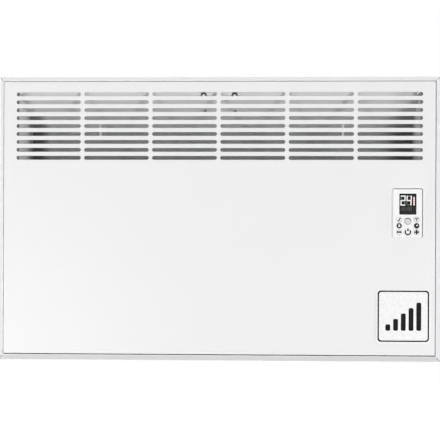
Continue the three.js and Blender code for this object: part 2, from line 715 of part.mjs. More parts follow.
// The galvanised sheet: it carries the slope on below the deflector and then drops upright.
function heatShield() {
  const low = SHEET + SEAT - PANEL_TOP;
  const top = SLOPE_TOP - DEFLECTOR_DROP + SLOPE_LAP;
  const section = foldedSheet([
    [slopeY(top, UNDER_DEFLECTOR), top],
    [SHIELD_Y, FOLD_Z],
    [SHIELD_Y, low],
  ]);
  const sheet = sidePlate(section, [-INNER_HALF, INNER_HALF]);
  const beside = [SHIELD_Y - 1, SHIELD_Y + SHEET + 1];
  const bay = block([BAY_X - 2 * SHEET - SEAT, INNER_HALF + 1], beside, [low - 1, BAY_TOP + SHEET + SEAT]);
  const shankHoles = SIDES.map(([, side]) =>
    block(spanAt(side * RAIL_SPREAD, CLIP_SHANK_WIDTH + 2 * SEAT), beside, [
      SHANK_TOP - CLIP_SHANK_HEIGHT - SEAT,
      SHANK_TOP + SEAT,
    ]),
  );
  const pilots = SIDES.map(([, side]) =>
    bar("y", PILOT_RADIUS, [FRONT, SHIELD_Y], [side * RAIL_SPREAD, SLOPE_TOP - CLIP_PILOT_DROP], LEAD_SIDES),
  );
  return without(sheet, [bay, ...shankHoles, ...pilots]);
}

// A white clip: a gusset with an upright front edge, a shank through the shield and a barb behind it.
function shieldClip(side) {
  const x = side * RAIL_SPREAD;
  const ribBack = SHIELD_Y - SEAT;
  const ribFront = SHIELD_Y - CLIP_RISE;
  const overFold = (y) => SLOPE_TOP - (y - slopeY(SLOPE_TOP, UNDER_DEFLECTOR - SEAT)) / SLOPE_RATE;
  const foot = FOLD_Z - CLIP_BOTTOM;
  const gusset = new THREE.Shape([
    new THREE.Vector2(ribFront, foot),
    new THREE.Vector2(ribBack, foot),
    new THREE.Vector2(ribBack, overFold(ribBack)),
    new THREE.Vector2(ribFront, overFold(ribFront)),
  ]);
  const barbFront = SHIELD_Y + SHEET + SEAT;
  const shank = [SHANK_TOP - CLIP_SHANK_HEIGHT, SHANK_TOP];
  return joined([
    sidePlate(gusset, spanAt(x, CLIP_WIDTH)),
    block(spanAt(x, CLIP_SHANK_WIDTH), [ribBack - 1, barbFront + CLIP_BARB / 2], shank),
    block(spanAt(x, CLIP_BARB_WIDTH), [barbFront, barbFront + CLIP_BARB], shank),
  ]);
}

// ---------------------------------------------------------------- wall bracket

// The side view of a hook: a tongue through the back of the casing and a lip up behind it.
function hookOutline() {
  const seat = HOOK_SEAT_HEIGHT;
  const lipBack = BACK_INSIDE - SEAT;
  const nose = HOOK_NOSE_FRONT;
  return new THREE.Shape([
    new THREE.Vector2(-BRACKET_SHEET / 2, seat - HOOK_TONGUE),
    new THREE.Vector2(nose, seat - HOOK_TONGUE),
    new THREE.Vector2(nose, seat + HOOK_LIP - HOOK_NOSE / 2),
    new THREE.Vector2(nose + HOOK_NOSE / 2, seat + HOOK_LIP),
    new THREE.Vector2(lipBack, seat + HOOK_LIP),
    new THREE.Vector2(lipBack, seat),
    new THREE.Vector2(-BRACKET_SHEET / 2, seat),
  ].reverse());
}

// One upright rail: a channel with two side flanges, wall screw slots and the hook.
function bracketRail(side) {
  const x = side * RAIL_SPREAD;
  const [left, right] = spanAt(x, RAIL_WIDTH);
  const web = block([left, right], [-BRACKET_SHEET, 0], [-RAIL_BOTTOM, RAIL_TOP]);
  const flangeHeights = [-RAIL_BOTTOM, SIDE_FLANGE_TOP];
  const flanges = [left, right - BRACKET_SHEET].map((start) =>
    block([start, start + BRACKET_SHEET], [RAIL_FLANGE_FRONT, -BRACKET_SHEET / 2], flangeHeights),
  );
  const hook = sidePlate(hookOutline(), spanAt(x, HOOK_THICKNESS));
  const wallHoles = [RAIL_TOP - BAR_HEIGHT, -RAIL_BOTTOM + BAR_HEIGHT].map((z) =>
    frontPlate(slotOutline(RAIL_WIDTH / 2, DRIVER_HOLE + 1, [x, z]), [-BRACKET_SHEET - 1, 1]),
  );
  const outer = side > 0 ? [right - 2 * BRACKET_SHEET, right + 1] : [left - 1, left + 2 * BRACKET_SHEET];
  const lockHole = bar("x", LOCK_RADIUS + SEAT, outer, [BACK + TONGUE_REACH / 2, -LOCK_HEIGHT]);
  return without(joined([web, ...flanges, hook]), [...wallHoles, lockHole]);
}

function wallBracket() {
  const inner = RAIL_SPREAD - RAIL_WIDTH / 2 + BRACKET_SHEET;
  const middle = spanAt(0, BAR_HEIGHT);
  const crossbar = block([-inner, inner], [-BRACKET_SHEET, 0], middle);
  const reach = RAIL_SPREAD - RAIL_WIDTH;
  const [low, high] = middle;
  const lipHeights = [
    [low, low + BRACKET_SHEET],
    [high - BRACKET_SHEET, high],
  ];
  const lips = lipHeights.map((heights) => block([-reach, reach], [-BAR_LIP, -BRACKET_SHEET / 2], heights));
  return joined([crossbar, ...lips, ...SIDES.map(([, side]) => bracketRail(side))]);
}

// The lock screw passes the tongue's notch and threads into the rail's outer flange.
function lockScrew(side) {
  const headStart = TONGUE_X + SHEET + SEAT;
  const place = [BACK + TONGUE_REACH / 2, -LOCK_HEIGHT];
  const tip = TONGUE_X - SEAT - 4 * BRACKET_SHEET;
  const shank = bar("x", LOCK_RADIUS, mirrored(side, [tip, headStart + LOCK_HEAD / 2]), place);
  const head = bar("x", LOCK_HEAD_RADIUS, mirrored(side, [headStart, headStart + LOCK_HEAD]), place);
  return shank.add(head);
}

// A rubber bumper pushed through the back of the casing.
function bumper(side) {
  const place = [side * (CASE_SIDE - BUMPER_INSET), CASE_BOTTOM + BUMPER_HEIGHT];
  const barbBack = BACK_INSIDE - SEAT;
  return joined([
    bar("y", BUMPER_RADIUS, [BACK + SEAT, -SEAT], place, ROUND_SIDES),
    bar("y", BUMPER_STEM, [barbBack - SHEET, BACK + 1], place),
    bar("y", BUMPER_BARB, [barbBack - 2 * SHEET, barbBack], place),
  ]);
}

// ---------------------------------------------------------------- screws

// A sheet-metal screw through the casing's back into an end plate's flange.
function plateScrew([x, z]) {
  const headFront = BACK + SEAT;
  return joined([
    bar("y", SCREW_HEAD_RADIUS, [headFront, headFront + SCREW_HEAD], [x, z]),
    bar("y", SCREW_RADIUS, [headFront - SCREW_LENGTH, headFront + SCREW_HEAD / 2], [x, z], LEAD_SIDES),
  ]);
}

// The screw that holds the panel's ear to an end plate's foot.
function panelScrew(x) {
  const headTop = -PANEL_TOP - SEAT;
  return joined([
    bar("z", SCREW_HEAD_RADIUS, [headTop - SCREW_HEAD, headTop], [x, FOOT_SCREW_Y]),
    bar("z", SCREW_RADIUS, [headTop - SCREW_HEAD / 2, headTop + SCREW_LENGTH], [x, FOOT_SCREW_Y], LEAD_SIDES),
  ]);
}

// ---------------------------------------------------------------- heating element

const ELEMENT_RIGHT = BAY_X + BUSH_COLLAR + SEAT;
const ELEMENT_LEFT = -END_X - BUSH_COLLAR - SEAT;

// A flat fin that leaves the core at an angle, as seen from the side.
function fin(angle, [left, right]) {
  const geometry = new THREE.BoxGeometry(right - left, FIN_REACH, FIN_THICKNESS);
  geometry.translate((left + right) / 2, FIN_REACH / 2, 0);
  geometry.rotateX(THREE.MathUtils.degToRad(angle));
  return solidOf(geometry.translate(0, ELEMENT_Y, ELEMENT_Z));
}

// The extruded aluminium element: a round core with six fins, bored at its right end.
function heatingElement() {
  const finLimits = [-END_X + FIN_GAP, BAY_X - SHEET - FIN_GAP];
  const core = bar("x", CORE_RADIUS, [ELEMENT_LEFT, ELEMENT_RIGHT], [ELEMENT_Y, ELEMENT_Z], ROUND_SIDES);
  const angles = [FIN_TILT, 90, 180 - FIN_TILT, 180 + FIN_TILT, 270, -FIN_TILT];
  const fins = angles.map((angle) => fin(angle, finLimits));
  const bore = [ELEMENT_RIGHT - INSULATOR_LENGTH - SEAT, ELEMENT_RIGHT + 1];
  const socket = bar("x", CORE_RADIUS - 1, bore, [ELEMENT_Y, ELEMENT_Z], ROUND_SIDES);
  return joined([core, ...fins]).subtract(socket);
}

// A silicone bush that carries one end of the element in its plate: a sleeve with a collar on each face.
function elementBush(plate) {
  const place = [ELEMENT_Y, ELEMENT_Z];
  const sleeve = CORE_RADIUS + SEAT + BUSH_WALL;
  const [left, right] = [plate[0] - SEAT, plate[1] + SEAT];
  const outside = joined([
    bar("x", sleeve, [left - BUSH_THICKNESS / 2, right + BUSH_THICKNESS / 2], place, ROUND_SIDES),
    bar("x", sleeve + BUSH_COLLAR, [left - BUSH_THICKNESS, left], place, ROUND_SIDES),
    bar("x", sleeve + BUSH_COLLAR, [right, right + BUSH_THICKNESS], place, ROUND_SIDES),
  ]);
  const bore = [left - BUSH_THICKNESS - 1, right + BUSH_THICKNESS + 1];
  return outside.subtract(bar("x", CORE_RADIUS + SEAT, bore, place, ROUND_SIDES));
}

// The ceramic plug in the element's right end, bored for its two pins.
function elementInsulator() {
  const place = [ELEMENT_Y, ELEMENT_Z];
  const collarStart = ELEMENT_RIGHT + SEAT;
  const limits = [ELEMENT_RIGHT - INSULATOR_LENGTH, collarStart + INSULATOR_COLLAR];
  const plug = joined([
    bar("x", CORE_RADIUS - 1 - SEAT, limits, place, ROUND_SIDES),
    bar("x", CORE_RADIUS, [collarStart, limits[1]], place, ROUND_SIDES),
  ]);
  const bores = [-1, 1].map((side) =>
    bar("x", PIN_RADIUS + SEAT, [limits[0] - 1, limits[1] + 1], [ELEMENT_Y, ELEMENT_Z + side * PIN_OFFSET]),
  );
  return without(plug, bores);
}

function elementPin(side) {
  const start = ELEMENT_RIGHT - INSULATOR_LENGTH;
  return bar("x", PIN_RADIUS, [start, start + PIN_LENGTH + INSULATOR_LENGTH], [
    ELEMENT_Y,
    ELEMENT_Z + side * PIN_OFFSET,
  ]);
}

// A strip that hangs on the heat shield and carries the middle of the element from below.
function elementCradle() {
  const back = SHIELD_Y - SEAT - SHEET;
  const shelf = ELEMENT_Z - FIN_REACH - SEAT;
  const halfDepth = Math.cos(THREE.MathUtils.degToRad(FIN_TILT)) * FIN_REACH + FIN_THICKNESS / 2;
  const reach = ELEMENT_Y - halfDepth - SEAT;
  const section = foldedSheet([
    [back, shelf + CRADLE_UPRIGHT],
    [back, shelf],
    [reach, shelf],
    [reach, shelf + CRADLE_TIP],
  ]);
  return sidePlate(section, spanAt(0, CRADLE_WIDTH));
}

// The bimetal cut-out: its disc faces the warm air and its blades stand in the wiring bay.
function thermalCutout() {
  const place = [ELEMENT_Y, CUTOUT_Z];
  const wallLeft = BAY_X - SHEET;
  const flangeStart = BAY_X + SEAT;
  const coldEnd = flangeStart + CUTOUT_COLD_LENGTH;
  const blades = [-1, 1].map((side) =>
    block(
      [coldEnd - 1, coldEnd + BLADE_LENGTH],
      spanAt(ELEMENT_Y, BLADE_WIDTH),
      spanAt(CUTOUT_Z + side * BLADE_OFFSET, BLADE_THICKNESS),
    ),
  );
  return joined([
    bar("x", CUTOUT_RADIUS, [wallLeft - CUTOUT_HOT_LENGTH, coldEnd], place, ROUND_SIDES),
    bar("x", CUTOUT_FLANGE, [flangeStart, flangeStart + CUTOUT_FLANGE_THICKNESS], place, ROUND_SIDES),
    ...blades,
  ]);
}

// ---------------------------------------------------------------- controller

const inControl = (x, z) => [CONTROL_X + x, CONTROL_Z + z];

// The keys: name, radius and place from the middle of the bezel.
const keyColumn = (names, side) =>
  names.map((name, row) => ({
    name,
    radius: KEY_RADIUS,
    place: inControl(side * KEY_COLUMN, -KEY_TOP_DROP - row * KEY_PITCH),
  }));
const KEYS = [
  ...keyColumn(["key_menu", "key_mode", "key_minus"], -1),
  ...keyColumn(["key_signal", "key_timer", "key_plus"], 1),
  { name: "key_select", radius: SELECT_RADIUS, place: inControl(0, -SELECT_DROP) },
  { name: "key_power", radius: POWER_RADIUS, place: inControl(0, -POWER_DROP) },
];

function controlBezel() {
  const middle = inControl(0, 0);
  const face = roundRectangle(BEZEL_WIDTH, BEZEL_HEIGHT, BEZEL_CORNER, middle);
  const corner = BEZEL_CORNER - BEZEL_OVERLAP;
  const skirtBack = FRONT + BEZEL_SKIRT;
  const skirt = roundRectangle(SKIRT_WIDTH, SKIRT_HEIGHT, corner, middle);
  const hollow = block(
    spanAt(CONTROL_X, SKIRT_WIDTH - 2 * BEZEL_WALL),
    [BEZEL_BACK, skirtBack + 1],
    spanAt(CONTROL_Z, SKIRT_HEIGHT - 2 * BEZEL_WALL),
  );
  const window = roundRectangle(WINDOW_WIDTH, WINDOW_HEIGHT, WINDOW_CORNER, inControl(0, WINDOW_RISE));
  const through = [BEZEL_FRONT - 1, BEZEL_BACK + 1];
  const body = joined([
    frontPlate(face, [BEZEL_FRONT, BEZEL_BACK]),
    frontPlate(skirt, [BEZEL_FRONT + 1, skirtBack]),
  ]);
  const keyHoles = KEYS.map(({ radius, place }) => bar("y", radius + SEAT, through, place, ROUND_SIDES));
  return without(body, [hollow, frontPlate(window, through), ...keyHoles]);
}

function displayLens() {
  const front = BEZEL_FRONT + LENS_SETBACK;
  const outline = roundRectangle(
    WINDOW_WIDTH - 2 * SEAT,
    WINDOW_HEIGHT - 2 * SEAT,
    WINDOW_CORNER - SEAT,
    inControl(0, WINDOW_RISE),
  );
  return frontPlate(outline, [front, front + LENS_THICKNESS]);
}

function displayModule() {
  const [x, z] = inControl(0, WINDOW_RISE);
  return block(
    spanAt(x, WINDOW_WIDTH + 2 * MODULE_MARGIN),
    [MODULE_FRONT, MODULE_FRONT + MODULE_DEPTH],
    spanAt(z, WINDOW_HEIGHT + 2 * MODULE_MARGIN),
  );
}

// The board fills the bezel's skirt and carries one switch behind each key.
function controlBoard() {
  const board = block(
    spanAt(CONTROL_X, SKIRT_WIDTH - 2 * (BEZEL_WALL + SEAT)),
    [BOARD_FRONT, BOARD_FRONT + BOARD_THICKNESS],
    spanAt(CONTROL_Z, SKIRT_HEIGHT - 2 * (BEZEL_WALL + SEAT)),
  );
  const switchLimits = [BOARD_FRONT - SWITCH_DEPTH, BOARD_FRONT + BOARD_THICKNESS / 2];
  const switches = KEYS.map(({ place: [x, z] }) =>
    block(spanAt(x, SWITCH_SIZE), switchLimits, spanAt(z, SWITCH_SIZE)),
  );
  return joined([board, ...switches]);
}

// A key: its cap in the bezel, a rim that keeps it in and a stem to its switch.
function key({ radius, place }) {
  const capFront = BEZEL_FRONT - KEY_PROUD;
  const rimFront = BEZEL_BACK + SEAT;
  const stemEnd = BOARD_FRONT - SWITCH_DEPTH - KEY_TRAVEL - SEAT;
  return joined([
    bar("y", radius, [capFront, rimFront + KEY_RIM_THICKNESS / 2], place, ROUND_SIDES),
    bar("y", radius + KEY_RIM, [rimFront, rimFront + KEY_RIM_THICKNESS], place, ROUND_SIDES),
    bar("y", KEY_STEM, [rimFront + KEY_RIM_THICKNESS / 2, stemEnd], place, LEAD_SIDES),
  ]);
}

// The box behind the panel that takes the bezel's skirt and holds the power board.
function controlHousing() {
  const outside = block(
    spanAt(CONTROL_X, HOUSING_WIDTH),
    [PANEL_INSIDE + SEAT, HOUSING_BACK],
    spanAt(CONTROL_Z, HOUSING_HEIGHT),
  );
  const inside = block(
    spanAt(CONTROL_X, HOUSING_WIDTH - 2 * HOUSING_WALL),
    [PANEL_INSIDE, HOUSING_BACK - HOUSING_WALL],
    spanAt(CONTROL_Z, HOUSING_HEIGHT - 2 * HOUSING_WALL),
  );
  return outside.subtract(inside);
}

function powerBoard() {
  const front = FRONT + POWER_BOARD_DEPTH;
  return block(
    spanAt(CONTROL_X, SKIRT_WIDTH),
    [front, front + BOARD_THICKNESS],
    spanAt(CONTROL_Z, SKIRT_HEIGHT),
  );
}

function powerRelay() {
  const start = FRONT + POWER_BOARD_DEPTH + BOARD_THICKNESS + SEAT;
  return block(
    spanAt(CONTROL_X, RELAY_WIDTH),
    [start, start + RELAY_DEPTH],
    spanAt(CONTROL_Z - RELAY_HEIGHT, RELAY_HEIGHT),
  );
}

function labelPlate() {
  const outline = roundRectangle(LABEL_SIZE, LABEL_SIZE, LABEL_CORNER, [
    PANEL_SIDE - LABEL_SIDE,
    LABEL_RISE - PANEL_TOP,
  ]);
  return frontPlate(outline, [FRONT - SEAT - LABEL_THICKNESS, FRONT - SEAT], 2 * SLOT_END_STEPS);
}

// ---------------------------------------------------------------- wiring bay

// The supply terminals on the back: a base with three screw poles.
function terminalBlock() {
  const back = BACK_INSIDE - SEAT;
  const base = block(spanAt(BLOCK_X, BLOCK_WIDTH), [back - BLOCK_DEPTH, back], spanAt(BLOCK_Z, BLOCK_HEIGHT));
  const wellLimits = [back - BLOCK_DEPTH - 1, back - BLOCK_DEPTH / 2];
  const wells = [-1, 0, 1].map((step) =>
    bar("y", POLE_RADIUS, wellLimits, [BLOCK_X + step * POLE_PITCH, BLOCK_Z]),
  );
  return without(base, wells);
}

// The supply cable's entry: a bored body through the back with a flange outside.
function cableGland() {
  const place = [GLAND_X, GLAND_Z];
  const outer = GLAND_BORE + GLAND_WALL;
  const flangeFront = BACK + SEAT;
  const flangeBack = flangeFront + GLAND_FLANGE_THICKNESS;
  const limits = [BACK_INSIDE - GLAND_REACH, flangeFront + GLAND_NOSE];
  const outside = joined([
    bar("y", outer, limits, place, ROUND_SIDES),
    bar("y", outer + GLAND_FLANGE, [flangeFront, flangeBack], place, ROUND_SIDES),
  ]);
  return outside.subtract(bar("y", GLAND_BORE, [limits[0] - 1, limits[1] + 1], place, ROUND_SIDES));
}

function glandNut() {
  const place = [GLAND_X, GLAND_Z];
  const back = BACK_INSIDE - SEAT;
  const bore = GLAND_BORE + GLAND_WALL + SEAT;
  const hexagon = bar("y", bore + NUT_MARGIN, [back - NUT_THICKNESS, back], place, 6);
  return hexagon.subtract(bar("y", bore, [back - NUT_THICKNESS - 1, back + 1], place, ROUND_SIDES));
}

// The earth screw in the back of the casing, with its hexagon head inside.
function earthStud() {
  const headBack = BACK_INSIDE - SEAT;
  return joined([
    bar("y", EARTH_HEAD_RADIUS, [headBack - EARTH_HEAD, headBack], [EARTH_X, EARTH_Z], 6),
    bar("y", EARTH_RADIUS, [headBack - EARTH_HEAD / 2, BACK + EARTH_HEAD], [EARTH_X, EARTH_Z]),
  ]);
}

// The room sensor: a small capsule in a clip over the air inlets.
function sensorProbe() {
  return bar("x", PROBE_RADIUS, spanAt(PROBE_X, PROBE_LENGTH), [PROBE_Y, PROBE_Z]);
}

function sensorClip() {
  const base = CASE_BOTTOM + SHEET + SEAT;
  const cradle = block(spanAt(PROBE_X, SENSOR_CLIP_LENGTH), spanAt(PROBE_Y, SENSOR_CLIP_WIDTH), [
    base,
    PROBE_Z + PROBE_RADIUS / 2,
  ]);
  const seat = bar("x", PROBE_RADIUS + SEAT, spanAt(PROBE_X, SENSOR_CLIP_LENGTH + 2), [PROBE_Y, PROBE_Z]);
  return cradle.subtract(seat);
}

// An insulated lead along a smooth curve through the given points.
function lead(points, radius = LEAD_RADIUS) {
  const curve = new THREE.CatmullRomCurve3(points.map((point) => new THREE.Vector3(...point)));
  const section = new THREE.Shape();
  for (let i = 0; i < LEAD_SIDES; i++) {
    const angle = (i * 2 * Math.PI) / LEAD_SIDES;
    const corner = [radius * Math.cos(angle), radius * Math.sin(angle)];
    if (i) section.lineTo(...corner);
    else section.moveTo(...corner);
  }
  return solidOf(new THREE.ExtrudeGeometry(section, { steps: LEAD_STEPS, extrudePath: curve }));
}

// The points of a lead that leaves one place along a direction and arrives at another along a direction.
function route(start, leaving, end, arriving, stub) {
  const along = ([x, y, z], [u, v, w], distance) => [x + u * distance, y + v * distance, z + w * distance];
  return [start, along(start, leaving, stub), along(end, arriving, stub), end];
}

const UP = [0, 0, 1];
const DOWN = [0, 0, -1];
const OUT = [1, 0, 0];
const FORWARD = [0, -1, 0];

// The places where the leads end, each a seat's gap away from its terminal.
const blockTop = (step) => [
  BLOCK_X + step * POLE_PITCH,
  BACK_INSIDE - SEAT - BLOCK_DEPTH / 2,
  BLOCK_Z + BLOCK_HEIGHT / 2 + SEAT,
];
const housingUnder = (step) => [
  CONTROL_X + step * POLE_PITCH,
  HOUSING_BACK - HOUSING_WALL - LEAD_RADIUS,
  HOUSING_BOTTOM - SEAT,
];
const pinEnd = (side) => [
  ELEMENT_RIGHT + PIN_LENGTH + SEAT,
  ELEMENT_Y,
  ELEMENT_Z + side * PIN_OFFSET,
];
const bladeEnd = (side) => [
  BAY_X + SEAT + CUTOUT_COLD_LENGTH + BLADE_LENGTH + SEAT,
  ELEMENT_Y,
  CUTOUT_Z + side * BLADE_OFFSET,
];

const earthHeadEnd = [EARTH_X, BACK_INSIDE - 2 * SEAT - EARTH_HEAD, EARTH_Z];

const leadPaths = {
  lead_live: route(blockTop(0), UP, housingUnder(0), DOWN, LONG_STUB),
  lead_neutral: route(blockTop(-1), UP, pinEnd(-1), OUT, SHORT_STUB),
  lead_switched: route(housingUnder(-1), DOWN, bladeEnd(1), OUT, SHORT_STUB),
  lead_cutout: route(bladeEnd(-1), OUT, pinEnd(1), OUT, SHORT_STUB),
  lead_earth: route(blockTop(1), UP, earthHeadEnd, FORWARD, SHORT_STUB),
};
const sensorPath = route(
  housingUnder(1),
  DOWN,
  [PROBE_X + PROBE_LENGTH / 2 - PROBE_RADIUS, PROBE_Y, PROBE_Z + PROBE_RADIUS + SEAT],
  UP,
  LONG_STUB,
);

// ---------------------------------------------------------------- the heater

addPiece("wall_bracket", wallBracket(), ZINC);
addPiece("rear_casing", rearCasing(), PAINT);
addPiece("front_panel", frontPanel(), PAINT);
addPiece("left_end_plate", leftEndPlate(), ZINC);
addPiece("right_end_plate", rightEndPlate(), ZINC);
addPiece("deflector", deflector(), PAINT);
addPiece("heat_shield", heatShield(), ZINC);
for (const [name, side] of SIDES) {
  addPiece("lock_screw_" + name, lockScrew(side), STEEL);
  addPiece("bumper_" + name, bumper(side), RUBBER);
  addPiece("shield_clip_" + name, shieldClip(side), WHITE_PLASTIC);
  addPiece("deflector_stay_" + name, deflectorStay(side), STEEL);
  addPiece("panel_screw_" + name, panelScrew(footScrewX[name]), STEEL);
}
plateScrewPlaces.forEach((place, i) => addPiece("plate_screw_" + (i + 1), plateScrew(place), STEEL));

addPiece("heating_element", heatingElement(), ALUMINIUM);
addPiece("element_bush_left", elementBush([-END_X, SHEET - END_X]), SILICONE);
addPiece("element_bush_right", elementBush([BAY_X - SHEET, BAY_X]), SILICONE);
addPiece("element_insulator", elementInsulator(), CERAMIC);
addPiece("element_pin_live", elementPin(1), STEEL);
addPiece("element_pin_neutral", elementPin(-1), STEEL);
addPiece("element_cradle", elementCradle(), ZINC);
addPiece("thermal_cutout", thermalCutout(), STEEL);

addPiece("control_bezel", controlBezel(), WHITE_PLASTIC);
addPiece("display_lens", displayLens(), SMOKED_GLASS);
addPiece("display_module", displayModule(), BLACK_PLASTIC);
addPiece("control_board", controlBoard(), BOARD_GREEN);
KEYS.forEach((each) => addPiece(each.name, key(each), WHITE_PLASTIC));
addPiece("control_housing", controlHousing(), GREY_PLASTIC);
addPiece("power_board", powerBoard(), BOARD_GREEN);
addPiece("power_relay", powerRelay(), RELAY_BLUE);
addPiece("label_plate", labelPlate(), STICKER);

addPiece("terminal_block", terminalBlock(), WHITE_PLASTIC);
addPiece("cable_gland", cableGland(), BLACK_PLASTIC);
addPiece("gland_nut", glandNut(), BLACK_PLASTIC);
addPiece("earth_stud", earthStud(), BRASS);
addPiece("sensor_probe", sensorProbe(), STEEL);
addPiece("sensor_clip", sensorClip(), WHITE_PLASTIC);
addPiece("lead_live", lead(leadPaths.lead_live), BROWN_WIRE);
addPiece("lead_neutral", lead(leadPaths.lead_neutral), BLUE_WIRE);
addPiece("lead_switched", lead(leadPaths.lead_switched), BROWN_WIRE);
addPiece("lead_cutout", lead(leadPaths.lead_cutout), WHITE_WIRE);
addPiece("lead_earth", lead(leadPaths.lead_earth), EARTH_WIRE);
addPiece("lead_sensor", lead(sensorPath, SENSOR_LEAD_RADIUS), WHITE_WIRE);

export default heater;
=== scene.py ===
"""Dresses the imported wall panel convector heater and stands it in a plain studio.

Lengths are in millimetres in the heater's own frame, with X to the right, Y back towards
the wall and Z up. They turn into metres when a piece is handed over.
"""
import logging
import math
from collections.abc import Iterable, Sequence
from dataclasses import dataclass, field
from enum import Enum

import bmesh
import bpy
from mathutils import Matrix, Vector


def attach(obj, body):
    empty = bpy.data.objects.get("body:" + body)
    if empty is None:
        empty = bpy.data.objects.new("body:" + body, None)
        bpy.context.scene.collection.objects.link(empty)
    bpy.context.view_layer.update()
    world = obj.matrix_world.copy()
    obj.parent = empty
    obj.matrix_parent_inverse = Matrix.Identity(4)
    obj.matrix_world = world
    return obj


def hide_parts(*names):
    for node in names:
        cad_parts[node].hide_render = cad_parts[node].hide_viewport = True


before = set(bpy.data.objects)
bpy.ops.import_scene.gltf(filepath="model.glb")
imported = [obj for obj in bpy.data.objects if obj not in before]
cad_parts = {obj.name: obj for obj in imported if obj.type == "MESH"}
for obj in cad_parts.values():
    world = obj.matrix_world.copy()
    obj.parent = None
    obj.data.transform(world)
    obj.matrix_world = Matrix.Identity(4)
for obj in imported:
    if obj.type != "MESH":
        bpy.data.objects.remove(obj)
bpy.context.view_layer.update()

LOG = logging.getLogger("heater")
MM = 0.001
WELD = 0.002  # what lies closer than this is one point
FLAT_ON = 0.9  # the least share of a face's normal that counts as facing along an axis

Span = tuple[float, float]
Place = tuple[float, float]
Point = tuple[float, float, float]
Colour = tuple[float, float, float]
Vert, Edge, Face = bmesh.types.BMVert, bmesh.types.BMEdge, bmesh.types.BMFace
Socket = bpy.types.NodeSocket
Source = Socket | float | Colour

HEATER = "heater"
BRACKET = "bracket"
SIDES = (("left", -1), ("right", 1))


class Axis(Enum):
    """The direction that a turned piece lies along."""

    X = Matrix.Rotation(math.radians(90), 4, "Y")
    Y = Matrix.Rotation(math.radians(-90), 4, "X")


class Grain(Enum):
    """How a finish varies over its surface."""

    PEEL = "the slight orange peel of a powder coat"
    SPANGLE = "the zinc flowers of galvanised sheet"
    DRAWN = "the long lines of an extrusion"
    PLATED = "the fine cloud of zinc plating"
    MOULDED = "the fine spark texture of a mould"
    WOVEN = "the weave of glass fibre under lacquer"
    PRINT = "the even film of printing ink"
    GLAZE = "the soft waves of a glaze"


# ---------------------------------------------------------------- finishes


class Board:
    """A node tree, with the links that the finishes and the room share."""

    def __init__(self, owner: bpy.types.Material | bpy.types.World) -> None:
        """Clears the tree.

        Args:
            owner: the material or world whose tree is written.
        """
        owner.use_nodes = True
        self.tree = owner.node_tree
        self.tree.nodes.clear()

    def add(self, kind: str, **settings: object) -> bpy.types.Node:
        """Adds a node.

        Args:
            kind: the node's type.
            settings: properties of the node.

        Returns:
            The new node.
        """
        node = self.tree.nodes.new(kind)
        for name, value in settings.items():
            setattr(node, name, value)
        return node

    def feed(self, target: Socket, source: Source) -> None:
        """Links a socket to another, or gives it a number or a colour.

        Args:
            target: the socket that takes it.
            source: another node's socket, a number or a colour.
        """
        if isinstance(source, Socket):
            self.tree.links.new(source, target)
        else:
            target.default_value = (*source, 1) if isinstance(source, tuple) else source

    def mapped(self, value: Socket, start: Span, end: Span, curve: str = "LINEAR") -> Socket:
        """A value carried from one span to another.

        Args:
            value: the value's socket.
            start: the span that it lies in.
            end: the span that it goes to.
            curve: how it runs in between.

        Returns:
            The new value.
        """
        slope = self.add("ShaderNodeMapRange", interpolation_type=curve)
        for name, number in zip(("From Min", "From Max", "To Min", "To Max"), (*start, *end)):
            slope.inputs[name].default_value = number
        self.feed(slope.inputs["Value"], value)
        return slope.outputs["Result"]

    def combined(self, operation: str, *values: Source, clamp: bool = False) -> Socket:
        """Two values put together.

        Args:
            operation: how they are put together.
            values: the two values.
            clamp: whether the result is held between 0 and 1.

        Returns:
            The result.
        """
        node = self.add("ShaderNodeMath", operation=operation, use_clamp=clamp)
        for slot, value in enumerate(values):
            self.feed(node.inputs[slot], value)
        return node.outputs["Value"]

    def seen(self) -> Socket:
        """A factor of 1 on rays from the camera, a gloss or a glass, and of 0 on others.

        Returns:
            The factor.
        """
        rays = self.add("ShaderNodeLightPath").outputs
        mirrored = self.combined("MAXIMUM", rays["Is Camera Ray"], rays["Is Glossy Ray"])
        return self.combined("MAXIMUM", mirrored, rays["Is Transmission Ray"])


